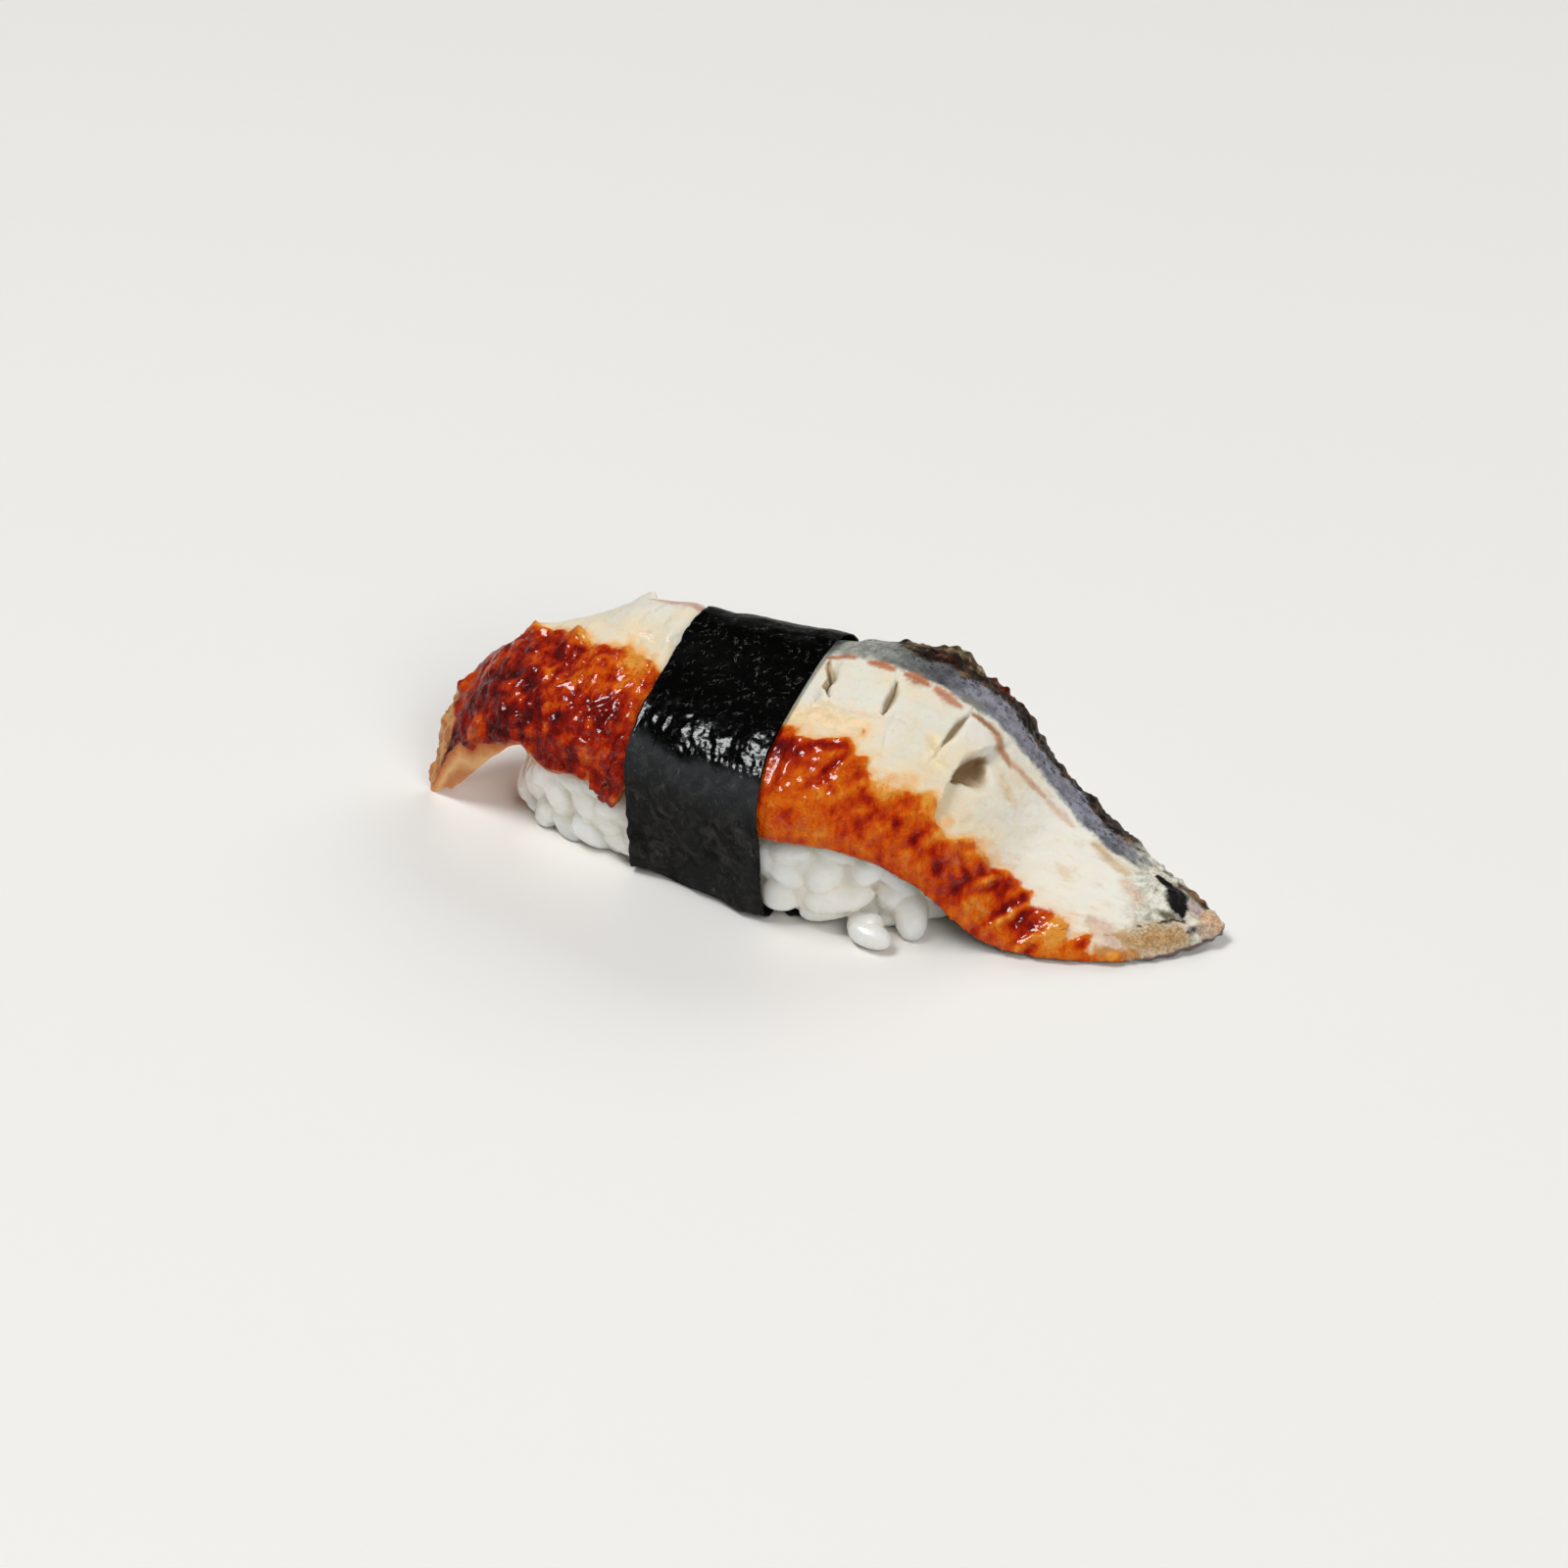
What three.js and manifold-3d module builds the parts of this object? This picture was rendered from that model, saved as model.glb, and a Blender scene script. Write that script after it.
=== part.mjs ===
// Eel nigiri: a slice of grilled eel draped over a bed of pressed rice, held by a band of seaweed.
// Millimetres, +Z up. +X runs along the piece towards the tail, and -Y is the glazed front.
// The origin is the middle of the band's underside, on the plane that the piece rests on.
import * as THREE from "three";
import Module from "manifold-3d";
import { mergeVertices } from "three/addons/utils/BufferGeometryUtils.js";

const wasm = await Module();
wasm.setup();

const AIR = 0.3; // gap kept between pieces that touch
const TAU = 2 * Math.PI;

// ---- helpers ------------------------------------------------------------

const clamp01 = (v) => Math.min(1, Math.max(0, v));

// A rounded arch: 0 at both ends of 0..1, 1 in the middle, and squarer with a higher power.
const arch = (q, power) => (1 - Math.abs(2 * q - 1) ** power) ** (1 / power);

// A smooth bell of height 1 at centre.
const bell = (v, centre, width) => Math.exp(-(((v - centre) / width) ** 2));

// Steps from 0 to 1 that lie closer together near both ends.
const eased = (i, count) => (1 - Math.cos((Math.PI * i) / count)) / 2;

const signedPower = (v, power) => Math.sign(v) * Math.abs(v) ** power;

// A fixed number from 0 to 1 for each whole-numbered cell of space.
function scatter(i, j, k, salt) {
  const wave = Math.sin(i * 127.1 + j * 311.7 + k * 74.7 + salt * 53.3) * 43758.5453;
  return wave - Math.floor(wave);
}

// Joins rings of equal length into one closed skin, with a fan over each end.
function loft(rings) {
  const count = rings[0].length;
  const points = rings.flat();
  const faces = [];
  for (let r = 0; r + 1 < rings.length; r++) {
    for (let i = 0; i < count; i++) {
      const a = r * count + i;
      const b = r * count + ((i + 1) % count);
      faces.push(a, b, a + count, b, b + count, a + count);
    }
  }
  for (const [first, turned] of [[0, true], [(rings.length - 1) * count, false]]) {
    const middle = new THREE.Vector3();
    for (let i = 0; i < count; i++) middle.addScaledVector(points[first + i], 1 / count);
    const hub = points.push(middle) - 1;
    for (let i = 0; i < count; i++) {
      const a = first + i;
      const b = first + ((i + 1) % count);
      faces.push(...(turned ? [b, a, hub] : [a, b, hub]));
    }
  }
  const geometry = new THREE.BufferGeometry().setFromPoints(points);
  geometry.setIndex(faces);
  return geometry;
}

function solidOf(geometry) {
  const bare = geometry.clone();
  bare.deleteAttribute("normal");
  bare.deleteAttribute("uv");
  const merged = mergeVertices(bare, 1e-4);
  return new wasm.Manifold(
    new wasm.Mesh({
      numProp: 3,
      vertProperties: merged.attributes.position.array,
      triVerts: new Uint32Array(merged.index.array),
    }),
  );
}

function geometryOf(solid) {
  const { numProp, vertProperties, triVerts } = solid.getMesh();
  const points = [];
  for (let i = 0; i < vertProperties.length; i += numProp) {
    points.push(new THREE.Vector3(...vertProperties.subarray(i, i + 3)));
  }
  const geometry = new THREE.BufferGeometry().setFromPoints(points);
  geometry.setIndex(Array.from(triVerts));
  geometry.computeVertexNormals();
  return geometry;
}

function pointsOf(geometry) {
  const { position } = geometry.attributes;
  const pointAt = (_, i) => new THREE.Vector3().fromBufferAttribute(position, i);
  return Array.from({ length: position.count }, pointAt);
}

// ---- eel ----------------------------------------------------------------

// The slice is lofted from the end that hangs down to the tail. At each station, front and back are points
// of its two long edges, and bulge is how far the outer face arches off the line between them. The face that
// lies on the rice is lower by thick, and lean moves the top of the arch from the middle to the back.
const EEL_STATIONS = [
  { front: [-34.9, -6.0, 0.4], back: [-35.2, -4.9, 1.1], bulge: 0.3, thick: 0.4, lean: 0 },
  { front: [-30.6, -6.9, 4.2], back: [-34.0, 1.2, 7.6], bulge: 2.0, thick: 3.0, lean: 0 },
  { front: [-23.6, -8.6, 10.2], back: [-27.8, 7.0, 13.2], bulge: 4.4, thick: 4.0, lean: 0 },
  { front: [-16.8, -10.3, 9.8], back: [-18.0, 10.6, 16.0], bulge: 6.2, thick: 5.2, lean: 0.1 },
  { front: [-11.2, -10.9, 10.0], back: [-11.8, 11.4, 17.2], bulge: 6.6, thick: 5.4, lean: 0.1 },
  { front: [-6.8, -11.6, 10.0], back: [-7.0, 11.8, 16.2], bulge: 7.0, thick: 5.5, lean: 0 },
  { front: [0.2, -13.6, 10.2], back: [0.0, 12.2, 16.6], bulge: 7.2, thick: 5.6, lean: 0 },
  { front: [9.0, -15.4, 10.4], back: [8.8, 12.8, 17.2], bulge: 7.2, thick: 5.6, lean: 0 },
  { front: [17.0, -14.0, 10.2], back: [16.6, 13.4, 19.0], bulge: 5.8, thick: 5.2, lean: 0.1 },
  { front: [24.6, -11.9, 6.8], back: [23.2, 14.0, 15.8], bulge: 4.8, thick: 4.6, lean: 0.2 },
  { front: [31.2, -10.6, 1.2], back: [30.0, 13.6, 8.6], bulge: 4.2, thick: 4.2, lean: 0.3 },
  { front: [38.4, -9.5, 0.2], back: [38.0, 11.6, 3.7], bulge: 3.8, thick: 3.8, lean: 0.3 },
  { front: [45.6, -7.1, 0.2], back: [45.8, 7.7, 1.4], bulge: 3.2, thick: 3.2, lean: 0.3 },
  { front: [50.8, -2.9, 0.4], back: [51.0, 4.6, 1.1], bulge: 2.4, thick: 2.4, lean: 0.2 },
  { front: [54.0, 0.7, 1.0], back: [54.2, 2.2, 1.4], bulge: 1.0, thick: 1.0, lean: 0 },
];
const EEL = {
  squareness: 2.5, // how boxy the arch of the outer face is
  edge: 1.2, // width of the cut face along the long edges
  rings: 56,
  around: 16, // steps across each face
  drip: { at: -11.2, width: 1.7, drop: 2.2 }, // a lobe of glazed flesh that hangs off the front edge
};

function rail(pick) {
  return new THREE.CatmullRomCurve3(EEL_STATIONS.map(pick), false, "catmullrom", 0.5);
}
const frontRail = rail(({ front }) => new THREE.Vector3(...front));
const backRail = rail(({ back }) => new THREE.Vector3(...back));
const depthRail = rail(({ bulge, thick, lean }) => new THREE.Vector3(bulge, thick, lean));

// One closed ring of the slice at 0..1 along it: over the outer face and back underneath.
function eelRing(t, swell) {
  const front = frontRail.getPoint(t);
  const back = backRail.getPoint(t);
  const { x: bulge, y: thick, z: lean } = depthRail.getPoint(t);
  const across = back.clone().sub(front);
  const width = across.length();
  across.normalize();
  const onward = frontRail.getTangent(t).add(backRail.getTangent(t)).normalize();
  const normal = onward.cross(across).normalize();
  front.addScaledVector(normal, -EEL.drip.drop * bell(front.x, EEL.drip.at, EEL.drip.width));
  const edge = Math.min(EEL.edge, width * 0.3);
  const at = (q, inset, lift) =>
    front
      .clone()
      .lerp(back, q)
      .addScaledVector(across, inset * (1 - 2 * q))
      .addScaledVector(normal, lift);
  const ring = [];
  for (let i = EEL.around; i >= 0; i--) {
    const q = eased(i, EEL.around);
    ring.push(at(q, -swell, (bulge + swell * 2) * arch(q ** (1 + lean), EEL.squareness) - swell));
  }
  for (let i = 0; i <= EEL.around; i++) {
    const q = eased(i, EEL.around);
    ring.push(at(q, edge + swell, (bulge - thick) * arch(q, EEL.squareness) - swell));
  }
  return ring;
}

function eelGeometry(swell = 0) {
  return loft(Array.from({ length: EEL.rings }, (_, i) => eelRing(i / (EEL.rings - 1), swell)));
}

// ---- rice ---------------------------------------------------------------

// Outline of the bed on the plan: X, with Y of its front and of its back.
const RICE_OUTLINE = [
  [-24.6, -8.4, 8.4],
  [-16.0, -9.5, 9.6],
  [-8.0, -10.5, 10.2],
  [0.0, -12.3, 10.9],
  [8.0, -13.9, 11.4],
  [15.0, -12.8, 11.6],
  [21.0, -11.2, 11.2],
  [27.6, -9.4, 10.4],
];
const RICE = {
  middle: 5.8, // height of its widest line
  rise: 9.4, // from there to its top
  fall: 9.8, // from there to the foot of its round section, cut flat on the ground
  squareness: 3.4,
  endSquareness: 4,
  rings: 44,
  around: 36,
};
const GRAIN = { length: 6.8, width: 2.9, cell: 3.7, relief: 1.0 };
// Grains that lie loose against the foot of the bed: place, and heading about Z in degrees.
const STRAY_GRAINS = [
  { at: [20.8, -13.2, 1.4], heading: -10 },
  { at: [-14.6, 9.9, 1.4], heading: 12 },
];

// Relief of packed grains: each cell of space holds one rounded lump.
function grainRelief({ x, y, z }) {
  const { cell, relief } = GRAIN;
  const [i, j, k] = [x, y, z].map((v) => Math.floor(v / cell));
  let nearest = cell;
  for (let a = i - 1; a <= i + 1; a++) {
    for (let b = j - 1; b <= j + 1; b++) {
      for (let c = k - 1; c <= k + 1; c++) {
        const lump = [a, b, c].map((v, axis) => (v + 0.2 + 0.6 * scatter(a, b, c, axis)) * cell);
        nearest = Math.min(nearest, Math.hypot(x - lump[0], y - lump[1], z - lump[2]));
      }
    }
  }
  return relief * (1 - (nearest / cell) ** 2);
}

const riceOutline = new THREE.CatmullRomCurve3(RICE_OUTLINE.map((p) => new THREE.Vector3(...p)));

function riceRing(t) {
  const { x, y: front, z: back } = riceOutline.getPoint(t);
  const u = 2 * t - 1;
  const taper = Math.max((1 - Math.abs(u) ** RICE.endSquareness) ** (1 / RICE.endSquareness), 0.02);
  const half = ((back - front) / 2) * taper;
  const middleY = (front + back) / 2;
  const pressed = 1 - bell(x, BAND.middle, BAND.width * 0.55) ** 2; // the band presses the grains flat
  return Array.from({ length: RICE.around }, (_, i) => {
    const angle = (TAU * i) / RICE.around;
    const out = new THREE.Vector3(
      u * 0.4,
      signedPower(Math.cos(angle), 2 / RICE.squareness),
      signedPower(Math.sin(angle), 2 / RICE.squareness),
    );
    const height = (out.z > 0 ? RICE.rise : RICE.fall) * taper;
    const skin = new THREE.Vector3(x, middleY + half * out.y, RICE.middle + height * out.z);
    skin.addScaledVector(out.normalize(), grainRelief(skin) * pressed * clamp01(taper * 2));
    skin.z = Math.max(skin.z, 0); // flat where it sits
    return skin;
  });
}

function strayGrain({ at, heading }) {
  const grain = new THREE.SphereGeometry(GRAIN.width / 2, 10, 8);
  grain.scale(GRAIN.length / GRAIN.width, 1, 1);
  grain.rotateZ(THREE.MathUtils.degToRad(heading));
  grain.translate(...at);
  return solidOf(grain);
}

function riceSolid() {
  const { rings } = RICE;
  const bed = Array.from({ length: rings }, (_, i) => riceRing(eased(i + 0.5, rings)));
  return STRAY_GRAINS.reduce((solid, grain) => solid.add(strayGrain(grain)), solidOf(loft(bed)));
}

// ---- seaweed band -------------------------------------------------------

const BAND = {
  middle: 0.2, // place of its centre line along X
  width: 17.0,
  narrowing: 1.2, // how much of its width is lost over the top
  thickness: 0.4,
  centre: [-1, 10], // Y and Z that its loop turns about
  stations: 7,
  sides: [10, 11, 14, 11], // steps along the bottom, back, top and front
  planes: 180, // directions in which the sheet is drawn tight
  reach: 1.6, // length of the filling that each station is drawn over
};
// The free end of the strip lies askew under the rice. Its outline on the ground, X and Y.
const BAND_TAIL = [[7.5, -12.6], [11.6, -13.2], [15.0, -12.7], [14.2, -8.4], [11.4, -4.6], [7.5, -3.0]];

// Directions from the loop's centre to evenly spaced points of the box around the filling, corners included.
function aimAtBox(low, high) {
  const corners = [[low.x, low.y], [high.x, low.y], [high.x, high.y], [low.x, high.y]];
  const [centreY, centreZ] = BAND.centre;
  return BAND.sides.flatMap((steps, side) => {
    const [y0, z0] = corners[side];
    const [y1, z1] = corners[(side + 1) % 4];
    return Array.from({ length: steps }, (_, i) => {
      const y = THREE.MathUtils.lerp(y0, y1, i / steps);
      const z = THREE.MathUtils.lerp(z0, z1, i / steps);
      return new THREE.Vector2(y - centreY, z - centreZ).normalize();
    });
  });
}

// A loop of sheet drawn tight over the filling near x and then moved out by an offset, as directions and
// distances from the loop's centre. Underneath, the sheet lies flat on the ground.
function tightLoop(filling, x, offset) {
  const centre = new THREE.Vector2(...BAND.centre);
  const near = filling
    .filter((p) => Math.abs(p.x - x) < BAND.reach)
    .map((p) => new THREE.Vector2(p.y, p.z));
  const reachTo = (out) => Math.max(...near.map((p) => p.clone().sub(centre).dot(out))) + AIR + offset;
  const planes = Array.from({ length: BAND.planes }, (_, i) => {
    const angle = (TAU * i) / BAND.planes;
    const out = new THREE.Vector2(Math.cos(angle), Math.sin(angle));
    return { out, distance: reachTo(out) };
  });
  const floor = centre.y - BAND.thickness + offset;
  const [front, back, top] = [[-1, 0], [1, 0], [0, 1]].map((out) => reachTo(new THREE.Vector2(...out)));
  const low = new THREE.Vector2(-front, -floor).add(centre);
  const high = new THREE.Vector2(back, top).add(centre);
  return aimAtBox(low, high).map((out) => {
    const reaches = planes.map((plane) => {
      const facing = plane.out.dot(out);
      return facing > 0.05 ? plane.distance / facing : Infinity;
    });
    return { out, reach: Math.min(...reaches, out.y < 0 ? floor / -out.y : Infinity) };
  });
}

function bandGeometry(filling, swell = 0) {
  const [centreY, centreZ] = BAND.centre;
  const from = BAND.middle - BAND.width / 2;
  const to = BAND.middle + BAND.width / 2;
  const loops = Array.from({ length: BAND.stations }, (_, i) => {
    const along = i / (BAND.stations - 1);
    const x = THREE.MathUtils.lerp(from, to, along);
    const ring = (offset) =>
      tightLoop(filling, x, offset).map(({ out, reach }) => {
        const trim = BAND.narrowing * clamp01(1.5 * out.y);
        const across = THREE.MathUtils.lerp(from - swell, to + swell - trim, along);
        return new THREE.Vector3(across, centreY + out.x * reach, centreZ + out.y * reach);
      });
    return { inner: ring(-swell), outer: ring(BAND.thickness + swell) };
  });
  // Out along the outer face and back along the inner one, so that the band is one closed loop of sections.
  const sections = loops[0].outer.map((_, k) => [
    ...loops.map(({ outer }) => outer[k]),
    ...loops.map(({ inner }) => inner[k]).reverse(),
  ]);
  const size = sections[0].length;
  const faces = [];
  for (let k = 0; k < sections.length; k++) {
    for (let i = 0; i < size; i++) {
      const a = k * size + i;
      const b = k * size + ((i + 1) % size);
      const step = (((k + 1) % sections.length) - k) * size;
      faces.push(b, a, a + step, b, a + step, b + step);
    }
  }
  const geometry = new THREE.BufferGeometry().setFromPoints(sections.flat());
  geometry.setIndex(faces);
  return geometry;
}

function bandTail(swell = 0) {
  const outline = new THREE.Shape(BAND_TAIL.map(([x, y]) => new THREE.Vector2(x, y)));
  const depth = BAND.thickness + 2 * swell;
  const sheet = new THREE.ExtrudeGeometry(outline, { depth, bevelEnabled: false });
  const middle = new THREE.Box3().setFromPoints(pointsOf(sheet)).getCenter(new THREE.Vector3());
  sheet.translate(-middle.x, -middle.y, -swell);
  sheet.scale(1 + swell / 3, 1 + swell / 4, 1); // clears its sides as well
  sheet.translate(middle.x, middle.y, 0);
  return solidOf(sheet);
}

// ---- the piece ----------------------------------------------------------

const eel = eelGeometry();
const rice = riceSolid();
const filling = [...pointsOf(eel), ...pointsOf(geometryOf(rice))];
const band = solidOf(bandGeometry(filling)).add(bandTail());
const trimmed = rice
  .subtract(solidOf(eelGeometry(AIR)))
  .subtract(solidOf(bandGeometry(filling, AIR)))
  .subtract(bandTail(AIR));
const [bed] = trimmed.decompose().sort((a, b) => b.volume() - a.volume()); // leaves out loose crumbs

function piece(name, geometry, color, roughness) {
  const material = new THREE.MeshStandardMaterial({ color, roughness, metalness: 0 });
  const mesh = new THREE.Mesh(geometry, material);
  mesh.name = name;
  return mesh;
}

const nigiri = new THREE.Group();
nigiri.add(piece("rice_bed", geometryOf(bed), 0xd9d2c6, 0.45));
nigiri.add(piece("eel_slice", geometryOf(solidOf(eel)), 0xb8571c, 0.35));
nigiri.add(piece("seaweed_band", geometryOf(band), 0x141512, 0.4));

export default nigiri;
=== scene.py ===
import itertools
import math

import bmesh
import bpy
import numpy as np
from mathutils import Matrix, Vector
from mathutils.bvhtree import BVHTree


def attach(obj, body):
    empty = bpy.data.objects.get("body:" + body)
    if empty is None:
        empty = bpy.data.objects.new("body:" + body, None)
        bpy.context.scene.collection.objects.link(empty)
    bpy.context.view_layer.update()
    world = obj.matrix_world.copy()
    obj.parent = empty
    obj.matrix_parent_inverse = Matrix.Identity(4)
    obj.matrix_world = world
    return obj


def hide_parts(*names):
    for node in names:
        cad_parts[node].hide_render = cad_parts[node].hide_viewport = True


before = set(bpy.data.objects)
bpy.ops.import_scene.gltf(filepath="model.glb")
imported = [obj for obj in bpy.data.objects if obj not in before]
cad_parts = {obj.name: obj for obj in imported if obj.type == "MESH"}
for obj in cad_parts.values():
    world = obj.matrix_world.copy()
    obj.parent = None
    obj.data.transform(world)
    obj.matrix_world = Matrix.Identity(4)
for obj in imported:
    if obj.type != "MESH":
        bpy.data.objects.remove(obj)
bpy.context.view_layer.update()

scene = bpy.context.scene
scene.view_settings.view_transform = "Standard"
mm = 0.001  # everything below is worked out in millimetres
far = 99.0  # stands for nowhere near


def say(words):
    print("nigiri:", words, flush=True)


def ease(value, low, high):
    t = np.clip((value - low) / (high - low), 0, 1)
    return t * t * (3 - 2 * t)


def bell(distance, width):
    return np.exp(-((distance / width) ** 2))


def along(x, table):
    xs, ys = zip(*table)
    return np.interp(x, xs, ys)


def hashed(cells, seed):
    wave = np.sin(cells @ np.array([127.1, 311.7, 74.7]) + seed * 53.31) * 43758.5453
    return wave - np.floor(wave)


# smooth lumps from -1 to 1, size is the distance between them
def lumps(points, size, seed=0):
    p = points / size
    cell = np.floor(p)
    f = p - cell
    f = f * f * (3 - 2 * f)
    total = np.zeros(len(p))
    for corner in itertools.product((0, 1), repeat=3):
        weight = np.prod(np.where(corner, f, 1 - f), axis=1)
        total += weight * hashed(cell + corner, seed)
    return 2 * total - 1


# rounded pillows with creases between them, from 0 in the crease to about 1
def pillows(points, size, seed=0):
    wander = np.column_stack([lumps(points, size, seed + k) for k in (0.1, 0.2, 0.3)])
    return np.abs(lumps(points + 0.35 * size * wander, size, seed)) * 1.6


def meshPoints(mesh):
    flat = np.zeros(len(mesh.vertices) * 3)
    mesh.vertices.foreach_get("co", flat)
    return flat.reshape(-1, 3) / mm


def setPoints(mesh, points):
    mesh.vertices.foreach_set("co", (points * mm).astype(np.float32).ravel())
    mesh.update()


def meshNormals(mesh):
    flat = np.zeros(len(mesh.vertices) * 3)
    mesh.vertex_normals.foreach_get("vector", flat)
    return flat.reshape(-1, 3)


def addField(mesh, name, values):
    layer = mesh.attributes.new(name, "FLOAT", "POINT")
    layer.data.foreach_set("value", np.asarray(values, np.float32))


def addColours(mesh, name, colours):
    layer = mesh.attributes.new(name, "FLOAT_COLOR", "POINT")
    layer.data.foreach_set("color", np.asarray(colours, np.float32).ravel())


def addObject(name, mesh):
    thing = bpy.data.objects.new(name, mesh)
    scene.collection.objects.link(thing)
    mesh.name = name
    mesh.shade_smooth()
    return thing


# bakes modifiers into a fresh mesh and throws the temporary object away
def applied(thing):
    bpy.context.view_layer.update()
    shown = thing.evaluated_get(bpy.context.evaluated_depsgraph_get())
    mesh = bpy.data.meshes.new_from_object(shown)
    bpy.data.objects.remove(thing)
    return mesh


def voxelRemesh(thing, size):
    remesh = thing.modifiers.new("even", "REMESH")
    remesh.mode = "VOXEL"
    remesh.voxel_size = size * mm


def thicken(thing, thickness, offset):
    wall = thing.modifiers.new("thickness", "SOLIDIFY")
    wall.thickness = thickness * mm
    wall.offset = offset


# a rounded, evenly meshed copy of a CAD node
def softCopy(node, voxel, rounds=2):
    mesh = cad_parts[node].data.copy()
    mesh.materials.clear()
    bm = bmesh.new()
    bm.from_mesh(mesh)
    bmesh.ops.remove_doubles(bm, verts=bm.verts, dist=1e-6)
    bmesh.ops.join_triangles(bm, faces=bm.faces, angle_face_threshold=0.7, angle_shape_threshold=0.9)
    bm.to_mesh(mesh)
    bm.free()
    thing = addObject(node + "Copy", mesh)
    thing.modifiers.new("round", "SUBSURF").levels = rounds
    voxelRemesh(thing, voxel)
    return applied(thing)


def treeOf(node):
    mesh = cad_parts[node].data
    mesh.calc_loop_triangles()
    faces = [tuple(t.vertices) for t in mesh.loop_triangles]
    return BVHTree.FromPolygons([Vector(p) for p in meshPoints(mesh)], faces)


def finishPiece(thing, material, node):
    thing.data.materials.clear()
    thing.data.materials.append(material)
    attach(thing, "root")
    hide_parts(node)


# screen colours from 0 to 255 as Blender wants them; above 255 they brighten what they multiply
def paint(rgb):
    linear = [v / 3294.6 if v <= 10.3 else ((v / 255 + 0.055) / 1.055) ** 2.4 for v in rgb]
    return (*linear, 1)


def colourAlong(x, tones):
    places, colours = zip(*tones)
    return np.column_stack([np.interp(x, places, channel) for channel in zip(*map(paint, colours))])


# a thin wrapper, so that a material reads as a list of layers
class Finish:
    def __init__(self, name):
        self.material = bpy.data.materials.new(name)
        self.material.use_nodes = True
        self.tree = self.material.node_tree
        self.shader = self.tree.nodes["Principled BSDF"]
        coords = self.tree.nodes.new("ShaderNodeTexCoord").outputs["Object"]
        self.place = self.vector("SCALE", coords, scale=1 / mm)

    def feed(self, socket, value):
        if isinstance(value, bpy.types.NodeSocket):
            self.tree.links.new(value, socket)
        else:
            socket.default_value = value

    def set(self, sockets):
        for name, value in sockets.items():
            self.feed(self.shader.inputs[name], value)

    def vector(self, kind, a, b=None, scale=None):
        node = self.tree.nodes.new("ShaderNodeVectorMath")
        node.operation = kind
        self.feed(node.inputs[0], a)
        if b is not None:
            self.feed(node.inputs[1], b)
        if scale is not None:
            node.inputs["Scale"].default_value = scale
        return node.outputs[0]

    def maths(self, kind, a, b=0.0):
        node = self.tree.nodes.new("ShaderNodeMath")
        node.operation = kind
        self.feed(node.inputs[0], a)
        self.feed(node.inputs[1], b)
        return node.outputs[0]

    def plus(self, a, b):
        return self.maths("ADD", a, b)

    def times(self, a, b):
        return self.maths("MULTIPLY", a, b)

    # a noise made to swing about nought
    def swing(self, noise, amount=None):
        centred = self.maths("SUBTRACT", noise, 0.5)
        return centred if amount is None else self.times(centred, amount)

    # nought along the thin winding lines where a noise passes its middle
    def lines(self, noise):
        return self.maths("ABSOLUTE", self.swing(noise))

    def field(self, name, output="Fac"):
        node = self.tree.nodes.new("ShaderNodeAttribute")
        node.attribute_name = name
        return node.outputs[output]

    def fields(self, *names):
        return [self.field(name) for name in names]

    def noise(self, size, detail=3.0, rough=0.55, stretch=(1, 1, 1), twist=0.0):
        node = self.tree.nodes.new("ShaderNodeTexNoise")
        self.feed(node.inputs["Vector"], self.vector("MULTIPLY", self.place, stretch))
        node.inputs["Scale"].default_value = 1 / size
        node.inputs["Detail"].default_value = detail
        node.inputs["Roughness"].default_value = rough
        node.inputs["Distortion"].default_value = twist
        return node.outputs["Fac"]

    def between(self, value, low, high, least=0.0, most=1.0):
        node = self.tree.nodes.new("ShaderNodeMapRange")
        node.interpolation_type = "SMOOTHSTEP"
        self.feed(node.inputs["Value"], value)
        node.inputs["From Min"].default_value = low
        node.inputs["From Max"].default_value = high
        node.inputs["To Min"].default_value = least
        node.inputs["To Max"].default_value = most
        return node.outputs["Result"]

    def ramp(self, value, stops):
        node = self.tree.nodes.new("ShaderNodeValToRGB")
        self.feed(node.inputs["Fac"], value)
        elements = node.color_ramp.elements
        while len(elements) < len(stops):
            elements.new(0.5)
        for element, (at, rgb) in zip(elements, stops):
            element.position = at
            element.color = paint(rgb)
        return node.outputs["Color"]

    def mix(self, amount, a, b, how="MIX"):
        node = self.tree.nodes.new("ShaderNodeMix")
        node.data_type = "RGBA"
        node.blend_type = how
        for index, value in ((0, amount), (6, a), (7, b)):
            self.feed(node.inputs[index], paint(value) if isinstance(value, tuple) else value)
        return node.outputs[2]

    def multiplied(self, a, b):
        return self.mix(1.0, a, b, "MULTIPLY")

    def bump(self, height, deep, under=None):
        node = self.tree.nodes.new("ShaderNodeBump")
        node.inputs["Distance"].default_value = deep * mm
        self.feed(node.inputs["Height"], height)
        if under is not None:
            self.feed(node.inputs["Normal"], under)
        return node.outputs["Normal"]


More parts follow.
